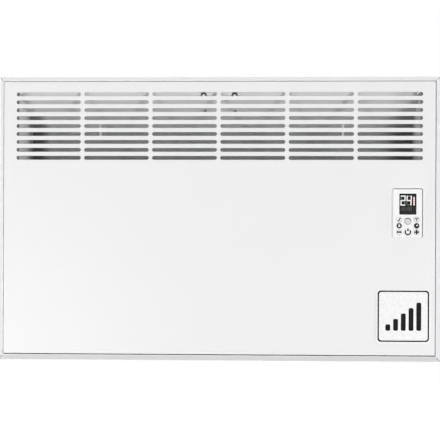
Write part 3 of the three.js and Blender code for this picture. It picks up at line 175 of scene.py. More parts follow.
class NodeBoard(Board):
    """The node tree of one material, with its shader and its textures."""

    noise_span: Span = (0.3, 0.7)
    thread_share: float = 0.3

    def __init__(self, material: bpy.types.Material) -> None:
        """Clears the material's tree and puts a shader and an output on it.

        Args:
            material: the material whose tree is written.
        """
        super().__init__(material)
        self.shader = self.add("ShaderNodeBsdfPrincipled")
        output = self.add("ShaderNodeOutputMaterial")
        self.feed(output.inputs["Surface"], self.shader.outputs["BSDF"])
        self.coordinates = self.add("ShaderNodeTexCoord").outputs["Object"]

    def dress(self, values: dict[str, Source]) -> None:
        """Feeds the shader's sockets, by their names."""
        for name, value in values.items():
            self.feed(self.shader.inputs[name], value)

    def noise(self, size: float, detail: float = 2.0, stretch: Point = (1, 1, 1)) -> Socket:
        """A noise whose spots are of a given size.

        Args:
            size: the size of a spot, in millimetres.
            detail: how many finer layers it carries.
            stretch: the factor on the coordinates along each axis.

        Returns:
            The noise's factor.
        """
        mapping = self.add("ShaderNodeMapping")
        mapping.inputs["Scale"].default_value = stretch
        self.feed(mapping.inputs["Vector"], self.coordinates)
        texture = self.add("ShaderNodeTexNoise")
        texture.inputs["Scale"].default_value = 1 / (size * MM)
        texture.inputs["Detail"].default_value = detail
        self.feed(texture.inputs["Vector"], mapping.outputs["Vector"])
        return texture.outputs["Fac"]

    def cells(self, size: float) -> Socket:
        """A value that is constant within each cell of a broken pattern.

        Args:
            size: the size of a cell, in millimetres.

        Returns:
            The cell's value.
        """
        texture = self.add("ShaderNodeTexVoronoi")
        texture.inputs["Scale"].default_value = 1 / (size * MM)
        self.feed(texture.inputs["Vector"], self.coordinates)
        split = self.add("ShaderNodeSeparateColor")
        self.feed(split.inputs["Color"], texture.outputs["Color"])
        return split.outputs["Red"]

    def weave(self, size: float) -> Socket:
        """Two crossed waves, as threads under lacquer.

        Args:
            size: the pitch of the threads, in millimetres.

        Returns:
            The product of the waves.
        """
        waves = [self.add("ShaderNodeTexWave", bands_direction=axis) for axis in ("X", "Z")]
        for wave in waves:
            wave.inputs["Scale"].default_value = self.thread_share / (size * MM)
            self.feed(wave.inputs["Vector"], self.coordinates)
        return self.combined("MULTIPLY", *(wave.outputs["Fac"] for wave in waves))

    def span(self, factor: Socket, low: float, high: float) -> Socket:
        """A noise's factor spread between two values."""
        return self.mapped(factor, self.noise_span, (low, high))

    def blend(self, factor: Socket, first: Source, second: Source) -> Socket:
        """A colour between two.

        Args:
            factor: how far it is towards the second.
            first: the colour at 0.
            second: the colour at 1.

        Returns:
            The colour.
        """
        mix = self.add("ShaderNodeMix", data_type="RGBA")
        for slot, value in ((0, factor), (6, first), (7, second)):
            self.feed(mix.inputs[slot], value)
        return mix.outputs[2]


@dataclass(frozen=True)
class PaintedShade:
    """Painted shade: a sheet darkened towards an inside corner, where shade falls.

    start and end are places along the axis in millimetres, and share is how much of its
    brightness the sheet has lost at the end.
    """

    axis: str
    start: float
    end: float
    share: float

    def apply(self, board: NodeBoard, colour: Socket) -> Socket:
        """Darkens a colour along the axis, as painted shade.

        Args:
            board: the tree that it is added to.
            colour: the colour so far.

        Returns:
            The darkened colour.
        """
        split = board.add("ShaderNodeSeparateXYZ")
        board.feed(split.inputs["Vector"], board.coordinates)
        start, lost = (self.start * MM, self.end * MM), (0, self.share)
        factor = board.mapped(split.outputs[self.axis], start, lost, "SMOOTHSTEP")
        return board.blend(factor, colour, (0, 0, 0))


@dataclass(frozen=True)
class Relief:
    """The fine relief of a surface: its grain, the grain's size and depth, and its strength."""

    grain: Grain
    size: float
    depth: float
    strength: float


@dataclass(frozen=True)
class Finish:
    """A surface finish: its colour and gloss, and the fine relief of the real surface.

    tint is the share by which its colour swings, and swing is by how much its roughness does.
    """

    name: str
    slot: str
    colour: Colour
    roughness: float
    relief: Relief
    tint: float
    swing: float = 0.05
    metallic: float = 0.0
    reflectance: float = 0.5
    coat: float = 0.0
    glow: float = 0.0
    # painted shade: darkenings along an axis that stand in for shade
    painted_shades: tuple[PaintedShade, ...] = ()
    cloud: float = 90
    fine_share: float = 0.6

    def material(self) -> bpy.types.Material:
        """The finish as a material, which is made once and then shared.

        Returns:
            The material.
        """
        title = "finish_of_" + self.name
        made = bpy.data.materials.get(title)
        if made:
            return made
        made = bpy.data.materials.new(title)
        board = NodeBoard(made)
        fine = self.fine_grain(board)
        shares = (
            board.span(fine, 0, self.fine_share),
            board.span(board.noise(self.cloud, detail=3), 0, 1 - self.fine_share),
        )
        darker = tuple(max(channel * (1 - self.tint), 0.0) for channel in self.colour)
        lighter = tuple(min(channel * (1 + self.tint), 1.0) for channel in self.colour)
        colour = board.blend(board.combined("ADD", *shares, clamp=True), darker, lighter)
        # painted shade: darken the colour along each axis given
        for painted_shade in self.painted_shades:
            colour = painted_shade.apply(board, colour)
        bump = board.add("ShaderNodeBump")
        bump.inputs["Strength"].default_value = self.relief.strength
        bump.inputs["Distance"].default_value = self.relief.depth * MM
        board.feed(bump.inputs["Height"], fine)
        board.dress({
            "Base Color": colour,
            "Roughness": board.span(fine, self.roughness - self.swing, self.roughness + self.swing),
            "Normal": bump.outputs["Normal"],
            "Metallic": self.metallic,
            "Specular IOR Level": self.reflectance,
            "Coat Weight": self.coat,
        })
        if self.glow:
            board.dress({"Emission Color": self.colour, "Emission Strength": self.glow})
        return made

    def fine_grain(self, board: NodeBoard) -> Socket:
        """The texture that the finish's tint, gloss and relief follow.

        Args:
            board: the tree that it is added to.

        Returns:
            The texture's value.
        """
        grain, size = self.relief.grain, self.relief.size
        if grain is Grain.SPANGLE:
            return board.cells(size)
        if grain is Grain.DRAWN:
            return board.noise(size, stretch=(0.01, 1, 1))
        if grain is Grain.WOVEN:
            return board.weave(size)
        return board.noise(size, detail=0 if grain in (Grain.PRINT, Grain.GLAZE) else 2)


def grey(level: float) -> Colour:
    """An even grey."""
    return (level, level, level)


def across(left: float, right: float, *reaches: Span) -> tuple[PaintedShade, PaintedShade]:
    """Painted shades that darken the left and the right end."""
    return PaintedShade("X", *reaches[0], left), PaintedShade("X", *reaches[1], right)


PEEL = Relief(Grain.PEEL, 1.1, 0.03, 0.22)
SPANGLE = Relief(Grain.SPANGLE, 6, 0.004, 0.1)
PLATING = Relief(Grain.PLATED, 1.2, 0.01, 0.15)
MOULD = Relief(Grain.MOULDED, 0.4, 0.02, 0.2)
ROUGH_MOULD = Relief(Grain.MOULDED, 0.4, 0.02, 0.3)
KEY_MOULD = Relief(Grain.MOULDED, 0.3, 0.01, 0.2)
INSULATION = Relief(Grain.MOULDED, 1, 0.01, 0.1)
SCREEN = Relief(Grain.PRINT, 0.6, 0.002, 0.1)
INK = Relief(Grain.PRINT, 1, 0.003, 0.1)
# where painted shade darkens the ends of the shield and its hood
SHIELD_ENDS = ((-283, -303), (256, 304))

POWDER_COAT = Finish(
    "white_powder_coat", "powder_coat", (0.865, 0.865, 0.867), 0.45, PEEL, 0.008, reflectance=0.35
)
# painted shade: the deflector darkens towards both ends, for the shadow that falls there
INNER_COAT = Finish(
    "inner_powder_coat", "powder_coat", grey(0.85), 0.5, PEEL, 0.01,
    painted_shades=across(0.2, 0.22, (-296, -312), (262, 300)),
)
# painted shade: the hood darkens towards both ends, where shade falls behind the panel's solid ends
HOOD_COAT = Finish(
    "hood_powder_coat", "zinc_sheet", grey(0.73), 0.5, PEEL, 0.01,
    painted_shades=across(0.58, 0.56, *SHIELD_ENDS),
)
# painted shade: the galvanised sheet darkens towards both ends, where shade falls behind the
# panel's solid ends
GALVANISED = Finish(
    "galvanised_sheet", "zinc_sheet", (0.395, 0.399, 0.403), 0.5, SPANGLE, 0.06, 0.07,
    reflectance=0.2, painted_shades=across(0.68, 0.66, *SHIELD_ENDS),
)
# painted light and shade: a lighter copy of the zinc for the lit end walls, darkened towards the
# back where shade falls
PAINTED_LIT_ZINC = Finish(
    "painted_lit_zinc_sheet", "zinc_sheet", (0.76, 0.765, 0.77), 0.46, SPANGLE, 0.04, 0.07,
    reflectance=0.3, painted_shades=(PaintedShade("Y", -62, -27, 0.65),),
)
# painted shadow: a dark copy of the zinc on the end plates' front flanges, which lie in shade
# behind the panel
PAINTED_SHADOW_ZINC = Finish(
    "painted_shadow_zinc_flange", "zinc_sheet", (0.17, 0.172, 0.175), 0.55, SPANGLE, 0.06, reflectance=0.1
)
STAY_PLATE = Finish(
    "bright_plated_stay", "screw_steel", grey(0.82), 0.4, PLATING, 0.04, 0.08, metallic=0.1
)
ZINC_PLATE = Finish(
    "zinc_plated_steel", "zinc_sheet", (0.6, 0.61, 0.62), 0.36,
    Relief(Grain.PLATED, 4, 0.01, 0.1), 0.05, 0.08, metallic=0.85,
)
SCREW_STEEL = Finish(
    "plated_screw", "screw_steel", (0.62, 0.62, 0.6), 0.3, PLATING, 0.06, 0.08, metallic=0.95
)
ALUMINIUM = Finish(
    "extruded_aluminium", "aluminium_fins", (0.7, 0.71, 0.72), 0.34,
    Relief(Grain.DRAWN, 0.35, 0.02, 0.3), 0.05, 0.08, metallic=0.95,
)
BRASS = Finish(
    "turned_brass", "brass", (0.72, 0.53, 0.24), 0.28, Relief(Grain.PLATED, 0.8, 0.01, 0.1), 0.06,
    metallic=0.95,
)
WHITE_PLASTIC = Finish(
    "white_plastic", "white_plastic", grey(0.94), 0.36, Relief(Grain.MOULDED, 0.35, 0.012, 0.2),
    0.008,
)
KEY_PLASTIC = Finish("key_plastic", "key_plastic", grey(0.93), 0.32, KEY_MOULD, 0.008)
# painted shade: the select key is greyed for the shade of a recess
SHADED_KEY = Finish("shaded_key_plastic", "key_plastic", (0.69, 0.69, 0.7), 0.34, KEY_MOULD, 0.02)
# painted shade: the grey floor of the bezel's seam stands in for the shade in the gap
SEAM_SHADE = Finish("painted_seam_shade", "grey_plastic", grey(0.25), 0.6, MOULD, 0.04, reflectance=0.2)
MITRE_SHADE = Finish("mitre_shade", "powder_coat", grey(0.24), 0.6, MOULD, 0.04, reflectance=0.2)
GREY_PLASTIC = Finish(
    "grey_plastic", "grey_plastic", (0.32, 0.33, 0.34), 0.48, ROUGH_MOULD, 0.04
)
BLACK_PLASTIC = Finish(
    "black_plastic", "black_plastic", (0.022, 0.022, 0.024), 0.4, ROUGH_MOULD, 0.1
)
BLUE_PLASTIC = Finish("blue_plastic", "blue_plastic", (0.05, 0.16, 0.42), 0.35, MOULD, 0.05)
BOARD = Finish(
    "lacquered_board", "board", (0.03, 0.16, 0.07), 0.3, Relief(Grain.WOVEN, 0.8, 0.02, 0.2), 0.15,
    coat=0.4,
)
RUBBER = Finish(
    "black_rubber", "black_rubber", grey(0.03), 0.75, Relief(Grain.MOULDED, 0.6, 0.04, 0.4), 0.12
)
SILICONE = Finish(
    "silicone", "silicone", (0.72, 0.68, 0.6), 0.55, Relief(Grain.MOULDED, 0.8, 0.02, 0.2), 0.03
)
CERAMIC = Finish(
    "glazed_ceramic", "ceramic", (0.82, 0.78, 0.68), 0.2, Relief(Grain.GLAZE, 3, 0.03, 0.2), 0.03,
    coat=0.5,
)
# painted shade: the lens darkens towards its top
SMOKED_LENS = Finish(
    "smoked_lens", "smoked_lens", (0.026, 0.026, 0.027), 0.12, Relief(Grain.GLAZE, 9, 0.003, 0.1),
    0.15, 0.02, reflectance=0.1, painted_shades=(PaintedShade("Z", 8, 36, 0.7),),
)
LIT_DIGIT = Finish("lit_digit", "smoked_lens", grey(0.34), 0.4, SCREEN, 0.02, glow=1.45)
LIT_BAR = Finish("lit_bar", "smoked_lens", (0.42, 0.37, 0.36), 0.4, SCREEN, 0.05, glow=1.4)
BAR_HALO = Finish("bar_halo", "smoked_lens", (0.22, 0.06, 0.05), 0.4, SCREEN, 0.05, glow=0.6)
DIM_DIGIT = Finish(
    "dim_digit", "smoked_lens", (0.118, 0.12, 0.12), 0.4, SCREEN, 0.1, reflectance=0.1
)
GREY_DIGIT = Finish("grey_digit", "smoked_lens", grey(0.22), 0.4, SCREEN, 0.05)
FILM = Finish("sticker_film", "sticker", grey(0.92), 0.3, Relief(Grain.PRINT, 4, 0.01, 0.1), 0.008)
BLACK_INK = Finish(
    "black_ink", "sticker", grey(0.007), 0.45, Relief(Grain.PRINT, 2, 0.003, 0.1), 0.1,
    reflectance=0.08,
)
DARK_INK = Finish(
    "dark_ink", "key_plastic", (0.022, 0.022, 0.024), 0.45, INK, 0.08, reflectance=0.15
)
GREY_INK = Finish("grey_ink", "key_plastic", grey(0.2), 0.4, INK, 0.05)
PALE_INK = Finish("pale_ink", "key_plastic", grey(0.3), 0.4, INK, 0.03)
BROWN_WIRE = Finish("brown_wire", "brown_wire", (0.16, 0.06, 0.025), 0.4, INSULATION, 0.05)
BLUE_WIRE = Finish("blue_wire", "blue_wire", (0.03, 0.12, 0.4), 0.4, INSULATION, 0.05)
WHITE_WIRE = Finish("white_wire", "white_wire", (0.72, 0.7, 0.65), 0.45, INSULATION, 0.03)
EARTH_WIRE = Finish("earth_wire", "earth_wire", (0.36, 0.52, 0.05), 0.4, INSULATION, 0.05)


# ---------------------------------------------------------------- shaping


def of_kind(items: Iterable[object], kind: type) -> list:
    """The vertices, edges or faces among what an operator made."""
    return [item for item in items if isinstance(item, kind)]


class Blank:
    """A mesh in the making, in millimetres, that is handed over as one named piece.

    near is how far behind the foremost face of a folded sheet its front still lies.
    """

    near: float = 0.1

    def __init__(self) -> None:
        """Starts with nothing."""
        self.mesh = bmesh.new()
        self.second_finish: Finish | None = None

    def newer(self, before: set[Vert]) -> list[Vert]:
        """The vertices that have come since a set of them was noted."""
        return [vert for vert in self.mesh.verts if vert not in before]

    def bevel(
        self, items: Sequence[object], width: float, segments: int, affect: str = "EDGES",
        clamp: bool = True, slide: bool = False,
    ) -> None:
        """Bevels edges or corners.

        Args:
            items: the edges or the vertices.
            width: the width of the bevel.
            segments: how many faces it has across.
            affect: whether EDGES or VERTICES are bevelled.
            clamp: whether it is held back before it overlaps.
            slide: whether its ends slide along the edges beside it.
        """
        bmesh.ops.bevel(
            self.mesh, geom=items, offset=width, offset_type="OFFSET", segments=segments,
            profile=0.5, affect=affect, clamp_overlap=clamp, loop_slide=slide, material=-1,
        )

    # Starting shapes

    def block(self, x: Span, y: Span, z: Span) -> list[Vert]:
        """A box between two values along each axis.

        Args:
            x: its limits along X.
            y: its limits along Y.
            z: its limits along Z.

        Returns:
            Its vertices.
        """
        verts = bmesh.ops.create_cube(self.mesh, size=1)["verts"]
        sides = [limits[1] - limits[0] for limits in (x, y, z)]
        middle = [sum(limits) / 2 for limits in (x, y, z)]
        bmesh.ops.scale(self.mesh, vec=sides, verts=verts)
        bmesh.ops.translate(self.mesh, vec=middle, verts=verts)
        return verts

    def turned(
        self,
        profile: Sequence[Place],
        place: Sequence[float],
        axis: Axis = Axis.Y,
        steps: int = 48,
        bored: bool = False,
    ) -> list[Vert]:
        """A solid of revolution.

        Args:
            profile: radius and position along the axis of each corner.
            place: where the axis passes and where position 0 lies.
            axis: the direction of the axis.
            steps: how many sides the round has.
            bored: whether the profile closes on itself round a bore.

        Returns:
            The solid's vertices.
        """
        line = [self.mesh.verts.new((radius, 0, along)) for radius, along in profile]
        pairs = list(zip(line, line[1:]))
        if bored:
            pairs.append((line[-1], line[0]))
        edges = [self.mesh.edges.new(pair) for pair in pairs]
        before = set(self.mesh.verts) - set(line)
        bmesh.ops.spin(
            self.mesh, geom=[*line, *edges], cent=(0, 0, 0), axis=(0, 0, 1), dvec=(0, 0, 0),
            angle=math.tau, steps=steps, use_merge=True, use_normal_flip=False,
            use_duplicate=False,
        )
        made = self.newer(before)
        bmesh.ops.remove_doubles(self.mesh, verts=made, dist=WELD)
        made = self.newer(before)
        matrix = Matrix.Translation(Vector(place)) @ axis.value
        bmesh.ops.transform(self.mesh, matrix=matrix, verts=made)
        return made

    def rounded_loop(self, size: Place, corner: float, middle: Place, steps: int) -> list[Edge]:
        """The outline of a rounded rectangle that stands upright at Y 0.

        Args:
            size: its width and height.
            corner: the radius of its corners.
            middle: its middle, X and Z.
            steps: how many sides each corner has.

        Returns:
            The outline's edges.
        """
        before = set(self.mesh.verts)
        verts = bmesh.ops.create_grid(self.mesh, x_segments=1, y_segments=1, size=0.5)["verts"]
        bmesh.ops.scale(self.mesh, vec=(size[0], size[1], 1), verts=verts)
        self.bevel(verts, min(corner, min(size) / 2 - WELD), steps, "VERTICES", clamp=False)
        return self.stand_up(self.newer(before), middle)

    def round_loop(self, radius: float, middle: Place, steps: int = 40) -> list[Edge]:
        """A circle's outline that stands upright at Y 0."""
        made = bmesh.ops.create_circle(self.mesh, cap_ends=False, radius=radius, segments=steps)
        return self.stand_up(made["verts"], middle)

    def polygon_loop(self, corners: Sequence[Place], middle: Place) -> list[Edge]:
        """A polygon's outline that stands upright at Y 0.

        Args:
            corners: its corners, X and Z from its middle.
            middle: its middle, X and Z.

        Returns:
            The outline's edges.
        """
        verts = [self.mesh.verts.new((x, z, 0)) for x, z in corners]
        self.mesh.faces.new(verts)
        return self.stand_up(verts, middle)

    def stand_up(self, verts: list[Vert], middle: Place) -> list[Edge]:
        """Turns a flat outline upright, moves it into place and takes its face away.

        Args:
            verts: the outline's vertices, in the XY plane.
            middle: where its middle goes, X and Z.

        Returns:
            The outline's edges.
        """
        upright = Matrix.Rotation(math.radians(90), 3, "X")
        bmesh.ops.rotate(self.mesh, cent=(0, 0, 0), matrix=upright, verts=verts)
        bmesh.ops.translate(self.mesh, vec=(middle[0], 0, middle[1]), verts=verts)
        inside = {face for vert in verts for face in vert.link_faces}
        bmesh.ops.delete(self.mesh, geom=list(inside), context="FACES_ONLY")
        return list({edge for vert in verts for edge in vert.link_edges})

    def fill(self, edges: Iterable[Edge], y: float) -> list[Face]:
        """Fills the region that outlines enclose, with their holes left open.

        Args:
            edges: the outlines.
            y: the depth that the region moves to.

        Returns:
            The region's faces.
        """
        edges = list(edges)
        made = bmesh.ops.triangle_fill(
            self.mesh, use_beauty=True, use_dissolve=False, edges=edges, normal=(0, -1, 0)
        )["geom"]
        faces = of_kind(made, Face)
        verts = list({vert for edge in edges for vert in edge.verts})
        bmesh.ops.translate(self.mesh, vec=(0, y, 0), verts=verts)
        return faces

    def thicken(self, faces: list[Face], depth: float) -> None:
        """Draws flat faces back along Y into a closed solid.

        Args:
            faces: the faces at the front.
            depth: how far back the solid goes.
        """
        made = bmesh.ops.extrude_face_region(self.mesh, geom=faces)["geom"]
        verts = of_kind(made, Vert)
        bmesh.ops.translate(self.mesh, vec=(0, depth, 0), verts=verts)

    def plate(self, loops: Sequence[Iterable[Edge]], y: Span) -> None:
        """A flat plate between two depths."""
        edges = [edge for loop in loops for edge in loop]
        self.thicken(self.fill(edges, y[0]), y[1] - y[0])

    def arc(
        self, radii: Span, middle: Place, y: Span, start: float = 0, sweep: float = 360,
        steps: int = 40,
    ) -> None:
        """A flat ring, or part of one, that faces the front.

        Args:
            radii: its inner and outer radius.
            middle: its middle, X and Z.
            y: the depths of its front and its back.
            start: where it starts, in degrees from the right.
            sweep: how far it goes, anticlockwise as seen from the front.
            steps: how many sides it has.
        """
        before = set(self.mesh.verts)
        turn = Matrix.Rotation(math.radians(-start), 3, "Y")
        ends = [self.mesh.verts.new(turn @ Vector((radius, 0, 0))) for radius in radii]
        edge = self.mesh.edges.new(ends)
        bmesh.ops.spin(
            self.mesh, geom=[*ends, edge], cent=(0, 0, 0), axis=(0, -1, 0), dvec=(0, 0, 0),
            angle=math.radians(sweep), steps=steps, use_merge=sweep == 360,
            use_normal_flip=False, use_duplicate=False,
        )
        verts = self.newer(before)
        bmesh.ops.translate(self.mesh, vec=(middle[0], y[0], middle[1]), verts=verts)
        faces = list({face for vert in verts for face in vert.link_faces})
        self.thicken(faces, y[1] - y[0])

    def stroke(
        self, start: Place, end: Place, width: float, y: Span, rounding: float = 0.35
    ) -> list[Vert]:
        """A straight stroke that faces the front.

        Args:
            start: its first end, X and Z.
            end: its other end.
            width: its width.
            y: the depths of its front and its back.
            rounding: the radius of its corners, as a share of its width.

        Returns:
            Its vertices.
        """
        before = set(self.mesh.verts)
        along = Vector(end) - Vector(start)
        half = along.length / 2
        verts = self.block((-half, half), y, (-width / 2, width / 2))
        edges = {edge for vert in verts for edge in vert.link_edges}
        upright = [edge for edge in edges if abs(edge.verts[0].co.y - edge.verts[1].co.y) > WELD]
        self.bevel(upright, width * rounding, 3)
        verts = self.newer(before)
        turn = Matrix.Rotation(-math.atan2(along.y, along.x), 3, "Y")
        bmesh.ops.rotate(self.mesh, cent=(0, 0, 0), matrix=turn, verts=verts)
        middle = (Vector(start) + Vector(end)) / 2
        bmesh.ops.translate(self.mesh, vec=(middle.x, 0, middle.y), verts=verts)
        return verts

    def draw_on(self, edges: Sequence[Edge], depth: float, scale: float = 1.0) -> list[Edge]:
        """Draws a wall from an outline back along Y.

        Args:
            edges: the outline.
            depth: how far back the wall goes.
            scale: the factor on its far outline, about the Y axis.

        Returns:
            The far outline's edges.
        """
        drawn = bmesh.ops.extrude_edge_only(self.mesh, edges=edges)["geom"]
        verts = of_kind(drawn, Vert)
        bmesh.ops.translate(self.mesh, vec=(0, depth, 0), verts=verts)
        bmesh.ops.scale(self.mesh, vec=(scale, 1, scale), verts=verts)
        return [edge for edge in of_kind(drawn, Edge) if all(vert in verts for vert in edge.verts)]

    # Starting from the frame

    def copy_of(self, node: str) -> None:
        """Takes a CAD node's shape, with its loose triangles merged into whole faces.

        Args:
            node: the node's name.
        """
        self.mesh.from_mesh(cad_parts[node].data)
        bmesh.ops.scale(self.mesh, vec=(1 / MM,) * 3, verts=self.mesh.verts[:])
        bmesh.ops.remove_doubles(self.mesh, verts=self.mesh.verts[:], dist=WELD)
        bmesh.ops.dissolve_limit(
            self.mesh, angle_limit=math.radians(0.5), use_dissolve_boundaries=False,
            verts=self.mesh.verts[:], edges=self.mesh.edges[:], delimit=set(),
        )

    def split_many_sided(self) -> None:
        """Splits faces of more than four corners, for shapes whose faces wrap round holes."""
        many = [face for face in self.mesh.faces if len(face.verts) > 4]
        bmesh.ops.triangulate(self.mesh, faces=many, quad_method="BEAUTY", ngon_method="BEAUTY")

    # Finishing

    def fit_within(self, middle: Place, radius: float) -> None:
        """Draws the mesh together across the front until it lies within a circle.

        Args:
            middle: the circle's middle.
            radius: its radius.
        """
        centre = Vector((middle[0], 0, middle[1]))
        reach = max(
            math.hypot(vert.co.x - centre.x, vert.co.z - centre.z) for vert in self.mesh.verts
        )
        if reach > radius:
            share = radius / reach
            space = Matrix.Translation(-centre)
            bmesh.ops.scale(
                self.mesh, vec=(share, 1, share), space=space, verts=self.mesh.verts[:]
            )

    def mark_front(self, finish: Finish) -> None:
        """Gives the foremost faces that look to the front a second finish.

        Args:
            finish: their finish.
        """
        self.second_finish = finish
        foremost = min(vert.co.y for vert in self.mesh.verts)
        for face in self.mesh.faces:
            if face.normal.y < -FLAT_ON and face.calc_center_median().y < foremost + self.near:
                face.material_index = 1

    def soften(
        self, width: float, segments: int = 2, angle: float = 30, depth: float | None = None
    ) -> None:
        """Rounds the edges that turn more than an angle.

        Args:
            width: the width of the rounding.
            segments: how many faces it has across.
            angle: the least turn, in degrees.
            depth: the place along Y that an edge has to lie at, or None for all edges.
        """
        bmesh.ops.recalc_face_normals(self.mesh, faces=self.mesh.faces[:])
        edges = [
            edge for edge in self.mesh.edges
            if edge.is_manifold and edge.calc_face_angle(0) > math.radians(angle)
            and (depth is None or all(abs(vert.co.y - depth) <= WELD for vert in edge.verts))
        ]
        self.bevel(edges, width, segments, slide=True)

    def hand_over(
        self, name: str, finish: Finish, body: str, replaced: Sequence[str] = (),
        sharp: float = 32, recalculate: bool = True,
    ) -> bpy.types.Object:
        """Turns the mesh into a piece that rides on a body.

        Args:
            name: the piece's name.
            finish: what it is finished in.
            body: the CAD body that it moves with.
            replaced: the CAD nodes that it stands for.
            sharp: the least turn of an edge that stays sharp, in degrees.
            recalculate: whether its faces are turned outwards first.

        Returns:
            The piece.
        """
        if recalculate:
            bmesh.ops.recalc_face_normals(self.mesh, faces=self.mesh.faces[:])
        bmesh.ops.scale(self.mesh, vec=(MM,) * 3, verts=self.mesh.verts[:])
        data = bpy.data.meshes.new(name)
        self.mesh.to_mesh(data)
        self.mesh.free()
        data.shade_smooth()
        data.set_sharp_from_angle(angle=math.radians(sharp))
        piece = bpy.data.objects.new(name, data)
        bpy.context.scene.collection.objects.link(piece)
        data.materials.append(finish.material())
        if self.second_finish:
            data.materials.append(self.second_finish.material())
        weighted = piece.modifiers.new("even_normals", "WEIGHTED_NORMAL")
        weighted.keep_sharp = True
        if replaced:
            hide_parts(*replaced)
        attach(piece, body)
        LOG.info("%s: %d faces, on %s", name, len(data.polygons), body)
        return piece


# ---------------------------------------------------------------- casing and panel


@dataclass
class Casing:
    """The pressed tub: bevelled rim, walls, beaded back and air inlets."""

    edge: float = 0.5
    least_turn: float = 28

    def build(self) -> None:
        """Makes the casing with its rolled edges."""
        blank = Blank()
        blank.copy_of("rear_casing")
        blank.soften(self.edge, 2, self.least_turn)
        blank.hand_over("pressed_casing", POWDER_COAT, HEATER, ["rear_casing"], recalculate=False)


@dataclass
class MitreLines:
    """The fine open joints in the four mitred corners of the rim."""

    outer: Point = (349.6, -77.0, 224.6)
    inner: Point = (341.7, -88.2, 216.7)
    sunk: float = 0.1
    width: float = 0.75

    def build(self) -> None:
        """Lays one thin strip along each corner's edge."""
        blank = Blank()
        inward = Vector((-1, 1, -1)).normalized() * self.sunk
        first, last = Vector(self.outer) + inward, Vector(self.inner) + inward
        along = last - first
        verts = bmesh.ops.create_cube(blank.mesh, size=1)["verts"]
        bmesh.ops.scale(blank.mesh, vec=(self.width, self.width / 2, along.length), verts=verts)
        turned = along.to_track_quat("Z", "Y").to_matrix()
        bmesh.ops.rotate(blank.mesh, cent=(0, 0, 0), matrix=turned, verts=verts)
        bmesh.ops.translate(blank.mesh, vec=(first + last) / 2, verts=verts)
        for axis in "XZ":
            bmesh.ops.mirror(blank.mesh, geom=blank.mesh.faces[:], axis=axis, merge_dist=-1)
        blank.hand_over("rim_mitre_lines", MITRE_SHADE, HEATER)


@dataclass
class FrontPanel:
    """The flat panel: a shallow pan with nine rows of six slots and the controller's doorway."""

    size: Place = (677.6, 427.6)
    corner: float = 1.2
    front: float = -90
    sheet: float = 1.0
    depth: float = 10
    rows: int = 9
    columns: int = 6
    slot: Place = (102.2, 6.2)
    first_row: float = 194.3
    row_pitch: float = 12.5
    column_pitch: float = 107.3
    doorway: Place = (44.3, 74.8)
    doorway_middle: Place = (295.8, 8.1)
    doorway_corner: float = 1.9
    roll: float = 0.5
    ear_depth: float = 26
    ear_width: float = 14
    ear_places: Sequence[float] = (-322.0, 264.0)
    ear_lap: float = 0.5

    def slot_places(self) -> list[Place]:
        """The middles of the slots.

        Returns:
            X and Z of each, row by row.
        """
        middle = (self.columns - 1) / 2
        return [
            ((column - middle) * self.column_pitch, self.first_row - row * self.row_pitch)
            for row in range(self.rows)
            for column in range(self.columns)
        ]

    def build(self) -> None:
        """Cuts the slots, folds the returns and rolls the edges."""
        blank = Blank()
        outline = blank.rounded_loop(self.size, self.corner, (0, 0), 3)
        loops = [
            blank.rounded_loop(self.slot, self.slot[1] / 2, place, 6)
            for place in self.slot_places()
        ]
        loops.append(blank.rounded_loop(self.doorway, self.doorway_corner, self.doorway_middle, 4))
        blank.fill([*outline, *(edge for loop in loops for edge in loop)], self.front)
        blank.draw_on(outline, self.depth)
        bmesh.ops.recalc_face_normals(blank.mesh, faces=blank.mesh.faces[:])
        ahead = next(face for face in blank.mesh.faces if abs(face.normal.y) > FLAT_ON)
        if ahead.normal.y > 0:
            bmesh.ops.reverse_faces(blank.mesh, faces=blank.mesh.faces[:])
        bmesh.ops.solidify(blank.mesh, geom=blank.mesh.faces[:], thickness=self.sheet)
        blank.soften(self.roll, 3, 60, self.front)
        self.add_ears(blank)
        blank.hand_over("slotted_panel", POWDER_COAT, HEATER, ["front_panel"])

    def add_ears(self, blank: Blank) -> None:
        """Adds the two ears under the panel that take its screws.

        Args:
            blank: the panel's mesh.
        """
        low = -self.size[1] / 2
        for x in self.ear_places:
            half = self.ear_width / 2
            blank.block(
                (x - half, x + half),
                (self.front + self.depth - self.ear_lap, self.front + self.ear_depth),
                (low, low + self.sheet),
            )


# ---------------------------------------------------------------- inner sheet metal


@dataclass(frozen=True)
class SheetPart:
    """A CAD node that keeps its shape and gets rounded edges."""

    node: str
    name: str
    finish: Finish
    edge: float = 0.25
    segments: int = 2
    least_turn: float = 50
    sharp: float = 40
    body: str = HEATER
    split: bool = False
    front_shadow_finish: Finish | None = None

    def build(self) -> None:
        """Copies the node, rounds its edges and dresses it."""
        blank = Blank()
        blank.copy_of(self.node)
        if self.split:
            blank.split_many_sided()
        if self.edge:
            blank.soften(self.edge, self.segments, self.least_turn)
        # painted shadow on the foremost faces that look to the front
        if self.front_shadow_finish:
            blank.mark_front(self.front_shadow_finish)
        blank.hand_over(
            self.name, self.finish, self.body, [self.node], sharp=self.sharp, recalculate=False
        )


